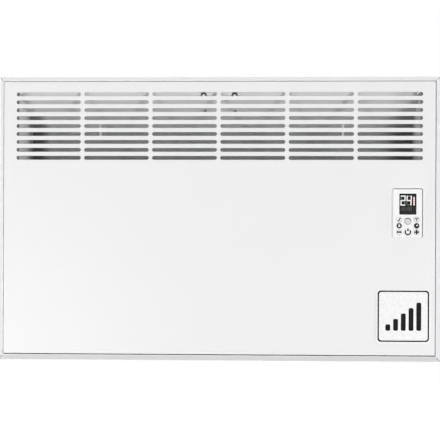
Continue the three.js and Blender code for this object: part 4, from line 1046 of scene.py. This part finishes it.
SHEET_PARTS = (
    SheetPart("deflector", "painted_deflector", INNER_COAT, 0.3),
    *(
        # the end plates: painted light on their walls, painted shadow on their front flanges
        SheetPart(
            f"{side}_end_plate", f"folded_end_plate_{side}", PAINTED_LIT_ZINC, 0.3,
            front_shadow_finish=PAINTED_SHADOW_ZINC,
        )
        for side, _ in SIDES
    ),
    *(
        SheetPart(f"shield_clip_{side}", f"moulded_clip_{side}", WHITE_PLASTIC, 0.4)
        for side, _ in SIDES
    ),
    SheetPart("wall_bracket", "welded_bracket", ZINC_PLATE, 0.4, 3, body=BRACKET, split=True),
    SheetPart("heating_element", "finned_element", ALUMINIUM, 0.4),
    SheetPart("element_cradle", "folded_cradle", GALVANISED, 0.3),
    *(
        SheetPart(f"element_bush_{side}", f"moulded_bush_{side}", SILICONE, 0.5)
        for side, _ in SIDES
    ),
    SheetPart("element_insulator", "fired_insulator", CERAMIC, 0.4),
    SheetPart("thermal_cutout", "cutout_switch", SCREW_STEEL, 0.25),
    SheetPart("terminal_block", "moulded_terminals", WHITE_PLASTIC, 0.5),
    SheetPart("gland_nut", "moulded_gland_nut", BLACK_PLASTIC, 0.5),
    SheetPart("control_housing", "moulded_housing", GREY_PLASTIC, 0.5),
    SheetPart("display_module", "display_body", BLACK_PLASTIC, 0.3),
    SheetPart("control_board", "printed_control_board", BOARD, 0.15),
    SheetPart("power_board", "printed_power_board", BOARD, 0.15),
    SheetPart("power_relay", "relay_case", BLUE_PLASTIC, 0.5),
    SheetPart("sensor_clip", "moulded_sensor_clip", WHITE_PLASTIC, 0.3),
    *(
        SheetPart(f"lead_{kind}", f"{kind}_lead", finish, 0, sharp=60)
        for kind, finish in (
            ("live", BROWN_WIRE), ("neutral", BLUE_WIRE), ("switched", BROWN_WIRE),
            ("cutout", WHITE_WIRE), ("earth", EARTH_WIRE), ("sensor", WHITE_WIRE),
        )
    ),
)


@dataclass
class Shield:
    """The heat shield: a painted hood that slopes back, and the bare sheet that hangs from it."""

    fold: float = 156.0
    edge: float = 0.3

    def part(self, sign: int) -> Blank:
        """The shield's sheet on one side of the fold.

        Args:
            sign: 1 for the part above the fold and -1 for the part below.

        Returns:
            The part, closed where it was cut.
        """
        blank = Blank()
        blank.copy_of("heat_shield")
        blank.soften(self.edge, 2, 50)
        everything = [*blank.mesh.verts, *blank.mesh.edges, *blank.mesh.faces]
        cut = bmesh.ops.bisect_plane(
            blank.mesh, geom=everything, dist=WELD, plane_co=(0, 0, self.fold),
            plane_no=(0, 0, sign), clear_inner=True,
        )["geom_cut"]
        rim = of_kind(cut, Edge)
        bmesh.ops.holes_fill(blank.mesh, edges=rim, sides=0)
        return blank

    def build(self) -> None:
        """Makes both parts."""
        self.part(-1).hand_over("galvanised_shield", GALVANISED, HEATER, ["heat_shield"], sharp=40)
        self.part(1).hand_over("painted_hood", HOOD_COAT, HEATER, sharp=40)


@dataclass
class Gussets:
    """The two small painted tabs that slope from the end plates to the deflector."""

    end: float = 314.7
    reach: float = 3.9
    top: float = 198.4
    thickness: float = 1.3
    y: Span = (-88.4, -80.5)
    rounding: float = 0.2

    def build(self) -> None:
        """Makes both tabs."""
        for side, sign in SIDES:
            blank = Blank()
            start = (sign * self.end, self.top)
            end = (sign * (self.end - self.reach), self.top - self.reach)
            blank.stroke(start, end, self.thickness, self.y, self.rounding)
            blank.hand_over("deflector_tab_" + side, POWDER_COAT, HEATER)


# ---------------------------------------------------------------- turned pieces and screws


@dataclass(frozen=True)
class TurnedPart:
    """A round piece, turned from a profile of radius and position."""

    node: str
    name: str
    finish: Finish
    profile: tuple[Place, ...]
    place: Point
    axis: Axis = Axis.Y
    bored: bool = False
    edge: float = 0.3
    body: str = HEATER

    def build(self) -> None:
        """Turns the profile and rounds its edges."""
        blank = Blank()
        blank.turned(self.profile, self.place, self.axis, bored=self.bored)
        if self.edge:
            blank.soften(self.edge, 3, 30)
        blank.hand_over(self.name, self.finish, self.body, [self.node])


# Each profile runs along the piece's axis: radius, then place.
BUMPER = (
    (0, -17.3), (2.9, -17.3), (4, -16.2), (4, -15.3), (2.7, -15.3), (2.7, -13.7), (7, -13.7),
    (7, -9.5), (6.4, -8.6), (6.4, -2.2), (7, -1.6), (7, -0.3), (3.4, -0.3), (2.8, -1.4), (0, -1.4),
)
GLAND = (
    (4.5, -27), (7.1, -27), (7.5, -26.2), (7.5, -13.7), (11.5, -13.7), (11.5, -10.7),
    (9.2, -10.7), (8.6, -8.6), (6.8, -7.7), (5.2, -7.7), (4.5, -8.6),
)
STAY = ((0, -78.4), (2.6, -78.4), (2.6, -15.3), (0, -15.3))
CAPSULE = ((0, -9), (2.5, -9), (2.5, 5), (2.2, 5.6), (2.5, 6.2), (2.5, 9), (0, 9))
TURNED_PARTS = (
    *(
        TurnedPart(
            f"bumper_{side}", f"rubber_bumper_{side}", RUBBER, BUMPER, (sign * 335, 0, -205),
            edge=0.35,
        )
        for side, sign in SIDES
    ),
    *(
        TurnedPart(
            f"deflector_stay_{side}", f"turned_stay_{side}", STAY_PLATE, STAY,
            (sign * 24.6, 0, 195.1), edge=0.5,
        )
        for side, sign in SIDES
    ),
    TurnedPart(
        "cable_gland", "moulded_gland", BLACK_PLASTIC, GLAND, (290, 0, -191), bored=True, edge=0.4
    ),
    TurnedPart(
        "sensor_probe", "sensor_capsule", SCREW_STEEL, CAPSULE, (329, -60, -213), Axis.X, edge=0.6
    ),
)


@dataclass(frozen=True)
class CrossHead:
    """A pan head with a cross recess that faces the front before it is turned.

    The sizes after its radius and height are shares of those. dome holds the scale and the
    depth of each step from its flat to its seat.
    """

    radius: float
    height: float
    flat: float = 0.72
    reach: float = 0.5
    arm: float = 0.36
    recess: float = 0.55
    taper: float = 0.8
    dome: tuple[Span, ...] = ((1 / 0.8, 0.16), (1 / 0.9, 0.34), (1.0, 0.5))

    def add_to(self, blank: Blank) -> None:
        """Adds the head, with its seat at the origin.

        Args:
            blank: the mesh that it is added to.
        """
        edges = blank.round_loop(self.radius * self.flat, (0, 0), 32)
        reach, half = self.radius * self.reach, self.radius * self.arm / 2
        corners = (
            (half, half), (half, reach), (-half, reach), (-half, half), (-reach, half),
            (-reach, -half), (-half, -half), (-half, -reach), (half, -reach), (half, -half),
            (reach, -half), (reach, half),
        )
        cross = blank.polygon_loop(corners, (0, 0))
        blank.fill([*edges, *cross], -self.height)
        floor = blank.draw_on(cross, self.height * self.recess, self.taper)
        bmesh.ops.edgeloop_fill(blank.mesh, edges=floor)
        for scale, depth in self.dome:
            edges = blank.draw_on(edges, self.height * depth, scale)
        bmesh.ops.edgeloop_fill(blank.mesh, edges=edges)


@dataclass(frozen=True)
class ScrewSize:
    """The sizes of one kind of screw: its head, its shank and the rings of its thread.

    root and point are the shank's share of radius between the rings and at its point.
    """

    head: CrossHead
    shank: float
    length: float
    pitch: float = 1.3
    lead_in: float = 0.6
    root: float = 0.82
    point: float = 0.8

    def profile(self) -> list[Place]:
        """The shank's profile, from the head to the point.

        Returns:
            Radius and place of each corner.
        """
        corners = [(0, 0), (self.shank, 0)]
        for turn in range(max(int(self.length / self.pitch) - 1, 1)):
            along = self.lead_in + turn * self.pitch
            corners += [(self.shank, along), (self.shank * self.root, along + self.pitch / 2)]
        end = self.length - self.lead_in
        return [*corners, (self.shank * self.point, end), (0, self.length)]


@dataclass(frozen=True)
class Screw:
    """A cross-head screw that replaces a CAD screw."""

    node: str
    name: str
    seat: Point
    matrix: Matrix
    size: ScrewSize
    body: str = HEATER

    def build(self) -> None:
        """Makes the head, the shank and its thread's rings."""
        blank = Blank()
        self.size.head.add_to(blank)
        blank.turned(self.size.profile(), (0, 0, 0), Axis.Y, steps=16)
        place = Matrix.Translation(Vector(self.seat)) @ self.matrix
        bmesh.ops.transform(blank.mesh, matrix=place, verts=blank.mesh.verts[:])
        blank.hand_over(self.name, SCREW_STEEL, self.body, [self.node])


FACING_BACK = Matrix.Rotation(math.radians(180), 4, "Z")
FACING_DOWN = Matrix.Rotation(math.radians(90), 4, "X")
SHEET_SCREW = ScrewSize(CrossHead(3.4, 2), 1.8, 7.8)
LOCK_SCREW = ScrewSize(CrossHead(4, 2.6), 1.95, 7.2)
SCREWS = (
    *(
        Screw(f"plate_screw_{count}", f"back_screw_{count}", seat, FACING_BACK, SHEET_SCREW)
        for count, seat in enumerate(
            ((-322, -13.7, 150), (-322, -13.7, -150), (322, -13.7, 150), (264, -13.7, -150)), 1
        )
    ),
    *(
        Screw(
            f"panel_screw_{side}", f"foot_screw_{side}", (x, -72, -214.1), FACING_DOWN,
            SHEET_SCREW,
        )
        for side, x in (("left", -322), ("right", 264))
    ),
    *(
        Screw(
            f"lock_screw_{side}", f"lock_bolt_{side}", (sign * 217.6, -8, -140),
            Matrix.Rotation(math.radians(sign * 90), 4, "Z"), LOCK_SCREW, BRACKET,
        )
        for side, sign in SIDES
    ),
)


# ---------------------------------------------------------------- controller


class Segment(Enum):
    """The seven strokes of a digit, each from one corner to another of a cell of 1 by 2."""

    TOP = ((0, 2), (1, 2))
    UPPER_LEFT = ((0, 1), (0, 2))
    UPPER_RIGHT = ((1, 1), (1, 2))
    MIDDLE = ((0, 1), (1, 1))
    LOWER_LEFT = ((0, 0), (0, 1))
    LOWER_RIGHT = ((1, 0), (1, 1))
    BOTTOM = ((0, 0), (1, 0))


DIGITS: dict[int, tuple[Segment, ...]] = {
    2: (Segment.TOP, Segment.UPPER_RIGHT, Segment.MIDDLE, Segment.LOWER_LEFT, Segment.BOTTOM),
    4: (Segment.UPPER_LEFT, Segment.MIDDLE, Segment.UPPER_RIGHT, Segment.LOWER_RIGHT),
    8: tuple(Segment),
}


@dataclass(frozen=True)
class Key:
    """A key of the controller: its name, its radius and its place from the bezel's middle."""

    name: str
    radius: float
    x: float
    z: float
    finish: Finish = KEY_PLASTIC


@dataclass(frozen=True)
class Bar:
    """A straight stroke of a symbol. Its places count from the key's middle."""

    start: Place
    end: Place
    width: float
    rounding: float

    def draw(self, blank: Blank, middle: Place, y: Span) -> None:
        """Draws the stroke on a key's middle, between two depths."""
        ends = [(middle[0] + x, middle[1] + z) for x, z in (self.start, self.end)]
        blank.stroke(*ends, self.width, y, self.rounding)


@dataclass(frozen=True)
class Ring:
    """A ring of a symbol, or part of one. offset is its middle's place from the key's middle."""

    radii: Span
    offset: Place = (0, 0)
    start: float = 0
    sweep: float = 360
    steps: int = 40
    sunk: float = 0

    def draw(self, blank: Blank, middle: Place, y: Span) -> None:
        """Draws the ring on a key's middle, between two depths."""
        place = (middle[0] + self.offset[0], middle[1] + self.offset[1])
        blank.arc(self.radii, place, (y[0] + self.sunk, y[1]), self.start, self.sweep, self.steps)


@dataclass(frozen=True)
class Patch:
    """A flat shape with straight sides, or a disc of a given radius with that shape as a hole."""

    corners: tuple[Place, ...]
    disc: float = 0

    def draw(self, blank: Blank, middle: Place, y: Span) -> None:
        """Draws the shape on a key's middle, between two depths."""
        loops = [blank.round_loop(self.disc, middle)] if self.disc else []
        blank.plate([*loops, blank.polygon_loop(self.corners, middle)], y)


@dataclass(frozen=True)
class Print:
    """A symbol printed on a key."""

    name: str
    key: str
    finish: Finish
    shapes: tuple[Bar | Ring | Patch, ...]


PEAK = ((-1.9, -1.5), (1.9, -1.5), (0.5, 2.4), (-0.5, 2.4))
FUNNEL = (
    (3.7, 2.6), (3.7, 1.5), (1.3, 0.6), (0.9, -2.9), (-0.7, -2.9), (-1.2, 0.6), (-3.7, 1.5),
    (-3.7, 2.6),
)
PRINTS = (
    *(
        Print("ring_of_" + key, key, PALE_INK, (Ring((3.5, 3.95)),))
        for key in ("key_menu", "key_minus", "key_signal", "key_plus")
    ),
    Print("menu_slash", "key_menu", DARK_INK, (Bar((-1.35, -2.7), (1.65, 2.6), 1.7, 0.3),)),
    Print("mode_disc", "key_mode", DARK_INK, (Patch(PEAK, 4.0),)),
    Print("minus_bar", "key_minus", DARK_INK, (Bar((-3.7, 0), (3.7, 0), 2.6, 0.15),)),
    Print("signal_funnel", "key_signal", GREY_INK, (Patch(FUNNEL),)),
    Print("timer_disc", "key_timer", DARK_INK, (Ring((0.05, 4.12), sunk=0.012),)),
    Print("timer_spot", "key_timer", FILM, (Ring((0.05, 1.2), (0.6, 0.6)),)),
    Print(
        "plus_bars", "key_plus", DARK_INK,
        (Bar((-3.4, 0), (3.4, 0), 2.3, 0.2), Bar((0, -3.4), (0, 3.4), 2.3, 0.2)),
    ),
    # painted shadow: a dark arc over the top of the select key's rim, for the shade of a recessed
    # edge
    Print(
        "select_shadow_arc", "key_select", DARK_INK, (Ring((4.1, 5.15), start=8, sweep=132, steps=24),)
    ),
    Print(
        "select_ring", "key_select", PALE_INK, (Ring((4.45, 5.0), start=143, sweep=222, steps=30),)
    ),
    Print(
        "power_symbol", "key_power", DARK_INK,
        (Ring((3.0, 4.95), (0, -0.35), 138, 264), Bar((0, 0.9), (0, 5.1), 2.3, 0.3)),
    ),
)


@dataclass
class Controller:
    """The small control panel: bezel, lens, lit display and eight keys.

    Places on it count from its middle. The seam round its face is wide at the right and the
    top, and fine at the left and the foot.
    """

    middle: Place = (295.8, 8.1)
    bezel: Place = (47.5, 78)
    bezel_corner: float = 3.5
    bezel_front: float = -92.2
    bezel_back: float = -90.3
    bezel_edge: float = 0.22
    skirt: Place = (43.7, 74.2)
    skirt_corner: float = 1.6
    skirt_wall: float = 1.6
    skirt_back: float = -76
    skirt_lap: float = 0.02
    window: Place = (26.6, 32.8)
    window_corner: float = 1.2
    window_rise: float = 14
    frame_width: float = 0.35
    seam_wide: float = 1.5
    seam_fine: float = 0.3
    seam_floor: float = -90.75
    seam_rise: float = 0.04
    seam_sunk: float = 0.1
    island_step: float = 1.2
    seat: float = 0.3
    lens_front: float = -92.0
    lens_thickness: float = 1.5
    lens_edge: float = 0.2
    cells: Sequence[tuple[int, Place, Place]] = (
        (2, (-10.9, 12.6), (5.9, 13.9)), (4, (-1.8, 12.9), (6.5, 13.4)),
    )
    digit_stroke: float = 1.9
    stroke_end: float = 0.48
    small_digit: Place = (2.7, 5.7)
    small_stroke: float = 0.7
    small_places: Sequence[Place] = ((-10.6, 3.9), (-6.7, 3.9), (-1.3, 3.9), (2.8, 3.9))
    dots: Sequence[Place] = (
        (-2.4, 5.6), (-2.4, 8.0), (9.5, 9.1), (9.5, 6.4), (9.5, 1.6), (9.5, -0.4),
    )
    dot_radii: Span = (0.05, 0.5)
    cap: Span = (8.7, 10.7)
    cap_height: float = 26.0
    cap_width: float = 1.7
    bar: Span = (8.4, 10.6)
    bar_glow: Span = (7.9, 11.0)
    bar_foot: float = 13.5
    bar_pitch: float = 3.2
    bar_cells: int = 4
    bar_width: float = 3.1
    bar_rounding: float = 0.4
    glow_width: float = 3.4
    lit_rise: float = 0.05
    unlit_rise: float = 0.025
    print_depth: float = 0.3
    key_front: float = -92.95
    print_front: float = -93.0
    key_edge: float = 0.3
    key_collar: float = 0.5
    collar: Span = (-90.0, -89.2)
    stem_radius: float = 1.5
    stem_back: float = -88.7
    slant: float = math.tan(math.radians(2.5))
    keys: Sequence[Key] = field(default_factory=lambda: (
        Key("key_menu", 4.2, -13.5, -10.1),
        Key("key_mode", 4.2, -13.5, -19.85),
        Key("key_minus", 4.2, -13.5, -29.6),
        Key("key_signal", 4.2, 13.5, -10.1),
        Key("key_timer", 4.2, 13.5, -19.85),
        Key("key_plus", 4.2, 13.5, -29.6),
        Key("key_select", 5.3, 0, -12.7, SHADED_KEY),
        Key("key_power", 5.5, 0, -29.2),
    ))

    def at(self, x: float, z: float) -> Place:
        """A place given from the bezel's middle, in the heater's frame."""
        return self.middle[0] + x, self.middle[1] + z

    def build(self) -> None:
        """Makes the whole controller."""
        self.build_bezel()
        self.build_lens()
        self.build_display()
        for key in self.keys:
            self.build_key(key)
        for symbol in PRINTS:
            self.print_on(symbol)

    def openings(self, blank: Blank) -> list[list[Edge]]:
        """The outlines of the window and of the key holes.

        Args:
            blank: the mesh that they are added to.

        Returns:
            One list of edges for each.
        """
        middle = self.at(0, self.window_rise)
        return [
            blank.rounded_loop(self.window, self.window_corner, middle, 4),
            *(blank.round_loop(key.radius + self.seat, self.at(key.x, key.z)) for key in self.keys),
        ]

    def build_bezel(self) -> None:
        """Makes the face with its window, key holes and seam, and the skirt behind it."""
        hole = tuple(side - 2 * self.frame_width for side in self.bezel)
        island = tuple(side - self.seam_wide - self.seam_fine for side in hole)
        shift = (self.seam_wide - self.seam_fine) / 2
        whole = (self.bezel, self.bezel_corner, self.middle, 8)
        around = (hole, self.bezel_corner - self.frame_width, self.middle, 8)
        within = (island, self.bezel_corner - self.island_step, self.at(-shift, -shift), 8)
        face = (self.bezel_front, self.seam_floor + WELD)
        blank = Blank()
        blank.plate([blank.rounded_loop(*whole), blank.rounded_loop(*around)], face)
        blank.plate([blank.rounded_loop(*within), *self.openings(blank)], face)
        blank.soften(self.bezel_edge, 2, 60, self.bezel_front)
        base = [blank.rounded_loop(*whole), *self.openings(blank)]
        blank.plate(base, (self.seam_floor, self.bezel_back))
        inside = tuple(side - 2 * self.skirt_wall for side in self.skirt)
        skirt = [
            blank.rounded_loop(self.skirt, self.skirt_corner, self.middle, 4),
            blank.rounded_loop(inside, self.skirt_corner / 2, self.middle, 3),
        ]
        blank.plate(skirt, (self.bezel_back - self.skirt_lap, self.skirt_back))
        blank.hand_over("moulded_bezel", WHITE_PLASTIC, HEATER, ["control_bezel"])
        # the seam's floor is painted shade
        seam = Blank()
        loops = [seam.rounded_loop(*around), seam.rounded_loop(*within)]
        seam.plate(loops, (self.seam_floor - self.seam_rise, self.seam_floor + self.seam_sunk))
        seam.hand_over("bezel_seam", SEAM_SHADE, HEATER)

    def build_lens(self) -> None:
        """Makes the smoked window."""
        blank = Blank()
        size = tuple(side - 2 * self.seat for side in self.window)
        loop = blank.rounded_loop(
            size, self.window_corner - self.seat, self.at(0, self.window_rise), 4
        )
        blank.plate([loop], (self.lens_front, self.lens_front + self.lens_thickness))
        blank.soften(self.lens_edge, 2, 60, self.lens_front)
        blank.hand_over("smoked_window", SMOKED_LENS, HEATER, ["display_lens"])

    def digit(
        self, blank: Blank, strokes: Iterable[Segment], corner: Place, size: Place, width: float,
        y: Span,
    ) -> None:
        """Draws strokes of one seven-stroke digit, slanted a little.

        Args:
            blank: the mesh that they are added to.
            strokes: the strokes to draw.
            corner: the lower left end of the digit's centre lines.
            size: the width of the centre lines and their whole height.
            width: the width of a stroke.
            y: the depths of the strokes' fronts and backs.
        """
        made: list[Vert] = []
        for stroke in strokes:
            ends = [
                Vector((corner[0] + u * size[0], corner[1] + v * size[1] / 2))
                for u, v in stroke.value
            ]
            along = (ends[1] - ends[0]).normalized() * width * self.stroke_end
            made += blank.stroke(tuple(ends[0] - along), tuple(ends[1] + along), width, y)
        shear = Matrix.Identity(4)
        shear[0][2] = self.slant
        shear[0][3] = -self.slant * corner[1]
        bmesh.ops.transform(blank.mesh, matrix=shear, verts=made)

    def build_display(self) -> None:
        """Lights the two digits and the level bar, and draws the unlit strokes."""
        back = self.lens_front + self.print_depth
        y = (self.lens_front - self.lit_rise, back)
        behind = (self.lens_front - self.unlit_rise, back)
        lit, unlit, cap = Blank(), Blank(), Blank()
        for number, place, size in self.cells:
            cell = (self.at(*place), size, self.digit_stroke)
            self.digit(lit, DIGITS[number], *cell, y)
            rest = [stroke for stroke in Segment if stroke not in DIGITS[number]]
            if number == 4:
                rest.remove(Segment.TOP)
                self.digit(cap, [Segment.TOP], *cell, behind)
            self.digit(unlit, rest, *cell, behind)
        lit.hand_over("lit_digits", LIT_DIGIT, HEATER)
        unlit.hand_over("unlit_strokes", DIM_DIGIT, HEATER)

        small = Blank()
        for place in self.small_places:
            cell = (self.at(*place), self.small_digit, self.small_stroke)
            self.digit(small, DIGITS[8], *cell, y)
        for place in self.dots:
            small.arc(self.dot_radii, self.at(*place), y, steps=16)
        small.hand_over("dim_row", DIM_DIGIT, HEATER)

        cap.stroke(*(self.at(x, self.cap_height) for x in self.cap), self.cap_width, y)
        cap.hand_over("bar_cap", GREY_DIGIT, HEATER)

        halo, bar = Blank(), Blank()
        for step in range(self.bar_cells):
            z = self.bar_foot + step * self.bar_pitch
            halo.stroke(*(self.at(x, z) for x in self.bar_glow), self.glow_width, behind)
            bar.stroke(*(self.at(x, z) for x in self.bar), self.bar_width, y, self.bar_rounding)
        halo.hand_over("bar_glow", BAR_HALO, HEATER)
        bar.hand_over("lit_bar_cells", LIT_BAR, HEATER)

    def build_key(self, key: Key) -> None:
        """Makes one key: cap, retaining collar and stem.

        Args:
            key: which key.
        """
        front, back = self.collar
        outer = key.radius + self.key_collar
        profile = (
            (0, self.key_front), (key.radius, self.key_front), (key.radius, front), (outer, front),
            (outer, back), (self.stem_radius, back), (self.stem_radius, self.stem_back),
            (0, self.stem_back),
        )
        x, z = self.at(key.x, key.z)
        blank = Blank()
        blank.turned(profile, (x, 0, z))
        blank.soften(self.key_edge, 3, 40)
        blank.hand_over("cap_of_" + key.name, key.finish, key.name, [key.name])

    def print_on(self, symbol: Print) -> None:
        """Prints one symbol on its key.

        Args:
            symbol: which symbol.
        """
        key = next(key for key in self.keys if key.name == symbol.key)
        middle = self.at(key.x, key.z)
        blank = Blank()
        for shape in symbol.shapes:
            shape.draw(blank, middle, (self.print_front, self.key_front + self.print_depth))
        blank.fit_within(middle, key.radius)
        blank.hand_over(symbol.name, symbol.finish, symbol.key)


# ---------------------------------------------------------------- sticker


@dataclass
class Sticker:
    """The square sticker: white film, a rounded line and a plain row of rising bars."""

    middle: Place = (289.6, -153.3)
    side: float = 85.5
    corner: float = 7
    print_rise: float = 0.7
    front: float = -90.7
    back: float = -90.3
    line_side: float = 80.0
    line_width: float = 2.15
    line_corner: float = 5
    bar_width: float = 7.5
    bar_pitch: float = 12
    bars: int = 5
    first_bar: float = 10
    bar_growth: float = 8.5
    bar_rounding: float = 0.3
    ink_rise: float = 0.04
    ink_depth: float = 0.1

    def build(self) -> None:
        """Makes the film and what is printed on it."""
        film = Blank()
        edge = film.rounded_loop((self.side,) * 2, self.corner, self.middle, 10)
        film.plate([edge], (self.front, self.back))
        film.hand_over("sticker_sheet", FILM, HEATER, ["label_plate"])
        ink = (self.front - self.ink_rise, self.front + self.ink_depth)
        middle = (self.middle[0], self.middle[1] + self.print_rise)
        line = Blank()
        inner = self.line_side - 2 * self.line_width
        loops = [
            line.rounded_loop((self.line_side,) * 2, self.line_corner, middle, 10),
            line.rounded_loop((inner,) * 2, self.line_corner - self.line_width / 2, middle, 10),
        ]
        line.plate(loops, ink)
        line.hand_over("sticker_line", BLACK_INK, HEATER)
        motif = Blank()
        foot = self.middle[1] - (self.first_bar + (self.bars - 1) * self.bar_growth) / 2
        for step in range(self.bars):
            x = self.middle[0] + (step - (self.bars - 1) / 2) * self.bar_pitch
            top = foot + self.first_bar + step * self.bar_growth
            motif.stroke((x, foot), (x, top), self.bar_width, ink, self.bar_rounding)
        motif.hand_over("sticker_bars", BLACK_INK, HEATER)


# ---------------------------------------------------------------- studio


@dataclass
class Lamp:
    """A soft area light that faces the heater."""

    name: str
    place: Point
    size: tuple[float, float]
    power: float

    def build(self, target: Vector) -> None:
        """Hangs the light and turns it to a target.

        Args:
            target: the point that it faces, in metres.
        """
        data = bpy.data.lights.new(self.name, "AREA")
        data.shape = "RECTANGLE"
        data.size, data.size_y = self.size
        data.energy = self.power
        lamp = bpy.data.objects.new(self.name, data)
        lamp.location = self.place
        lamp.rotation_euler = (target - Vector(self.place)).to_track_quat("-Z", "Y").to_euler()
        bpy.context.scene.collection.objects.link(lamp)


@dataclass
class Studio:
    """A plain pale room: camera, soft lights, a white background and a pale floor, in metres."""

    foot: Place = (0.07996, -0.09026)
    distance: float = 1.09
    front: float = -0.090
    roll: float = 0.237
    turn: float = 1.173
    lens: float = 56.93
    sensor: float = 36
    shift: Place = (-0.0789, 0.1265)
    ambient: Span = (0.06, 0.14)
    floor_height: float = -1.3
    floor_side: float = 14
    floor_lift: float = 0.94
    floor_greys: Span = (0.35, 0.38)
    floor_grain: float = 12
    floor_roughness: float = 0.9
    floor_reflectance: float = 0.1
    aim: Point = (0, -0.05, 0)
    lamps: Sequence[Lamp] = field(default_factory=lambda: (
        Lamp("right_softbox", (3.07, -4.25, -0.65), (1.0, 1.2), 143),
        Lamp("left_softbox", (-1.15, -2.12, -0.5), (0.26, 0.9), 18.6),
        Lamp("top_softbox", (0.0, -0.24, 1.8), (1.8, 0.4), 16),
        Lamp("right_strip", (2.3, -0.45, 0.1), (0.4, 1.4), 10.3),
        Lamp("left_strip", (-2.3, -0.45, 0.1), (0.4, 1.4), 20.5),
        Lamp("rear_softbox", (0.3, 2.4, 0.9), (1.6, 1.2), 32),
    ))

    def build(self) -> None:
        """Sets the whole studio up."""
        self.build_camera()
        for lamp in self.lamps:
            lamp.build(Vector(self.aim))
        self.build_world()
        self.build_floor()
        bpy.context.scene.view_settings.view_transform = "Standard"

    def build_camera(self) -> None:
        """Stands the camera where the photograph was taken from."""
        data = bpy.data.cameras.new("photo_camera")
        data.lens = self.lens
        data.sensor_width = self.sensor
        data.shift_x, data.shift_y = self.shift
        camera = bpy.data.objects.new("photo_camera", data)
        camera.location = (self.foot[0], self.front - self.distance, self.foot[1])
        turned = Matrix.Rotation(math.radians(self.turn), 3, "Z")
        upright = Matrix.Rotation(math.radians(90), 3, "X")
        rolled = Matrix.Rotation(math.radians(self.roll), 3, "Z")
        camera.rotation_euler = (turned @ upright @ rolled).to_euler()
        bpy.context.scene.collection.objects.link(camera)
        bpy.context.scene.camera = camera

    def build_world(self) -> None:
        """Lights the room evenly and shows a white background."""
        world = bpy.data.worlds.new("pale_room")
        bpy.context.scene.world = world
        board = Board(world)
        split = board.add("ShaderNodeSeparateXYZ")
        board.feed(split.inputs["Vector"], board.add("ShaderNodeTexCoord").outputs["Generated"])
        light, backdrop = (board.add("ShaderNodeBackground") for _ in range(2))
        for background in (light, backdrop):
            board.feed(background.inputs["Color"], grey(1))
        strength = board.mapped(split.outputs["Z"], (-1, 1), self.ambient)
        board.feed(light.inputs["Strength"], strength)
        mix = board.add("ShaderNodeMixShader")
        for slot, source in enumerate((board.seen(), light.outputs[0], backdrop.outputs[0])):
            board.feed(mix.inputs[slot], source)
        board.feed(board.add("ShaderNodeOutputWorld").inputs["Surface"], mix.outputs["Shader"])

    def build_floor(self) -> None:
        """Lays the pale floor, which keeps the heater's shadow."""
        mesh = bmesh.new()
        bmesh.ops.create_grid(mesh, x_segments=1, y_segments=1, size=self.floor_side / 2)
        bmesh.ops.translate(mesh, vec=(0, 0, self.floor_height), verts=mesh.verts[:])
        data = bpy.data.meshes.new("pale_floor")
        mesh.to_mesh(data)
        mesh.free()
        floor = bpy.data.objects.new("pale_floor", data)
        bpy.context.scene.collection.objects.link(floor)
        material = bpy.data.materials.new("pale_floor")
        board = NodeBoard(material)
        greys = [grey(level) for level in self.floor_greys]
        board.dress({
            "Base Color": board.blend(board.noise(self.floor_grain), *greys),
            "Roughness": self.floor_roughness,
            "Specular IOR Level": self.floor_reflectance,
            "Emission Color": grey(1),
            "Emission Strength": board.combined("MULTIPLY", board.seen(), self.floor_lift),
        })
        data.materials.append(material)


# ---------------------------------------------------------------- nodes that stay as they are


KEPT_NODES: dict[str, Finish] = {
    "element_pin_live": SCREW_STEEL,
    "element_pin_neutral": SCREW_STEEL,
    "earth_stud": BRASS,
}


def dress_kept_nodes() -> None:
    """Gives the CAD nodes that keep their shape their finishes."""
    for name, finish in KEPT_NODES.items():
        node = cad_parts[name]
        node.material_slots[0].material = finish.material()
        LOG.info("%s: kept, %s", name, finish.name)


def main() -> None:
    """Builds the studio and every piece."""
    logging.basicConfig(level=logging.INFO, format="%(name)s: %(message)s")
    for part in (
        Studio(), Casing(), MitreLines(), FrontPanel(), *SHEET_PARTS, *TURNED_PARTS, *SCREWS,
        Shield(), Gussets(), Controller(), Sticker(),
    ):
        part.build()
    dress_kept_nodes()


if __name__ == "__main__":
    main()
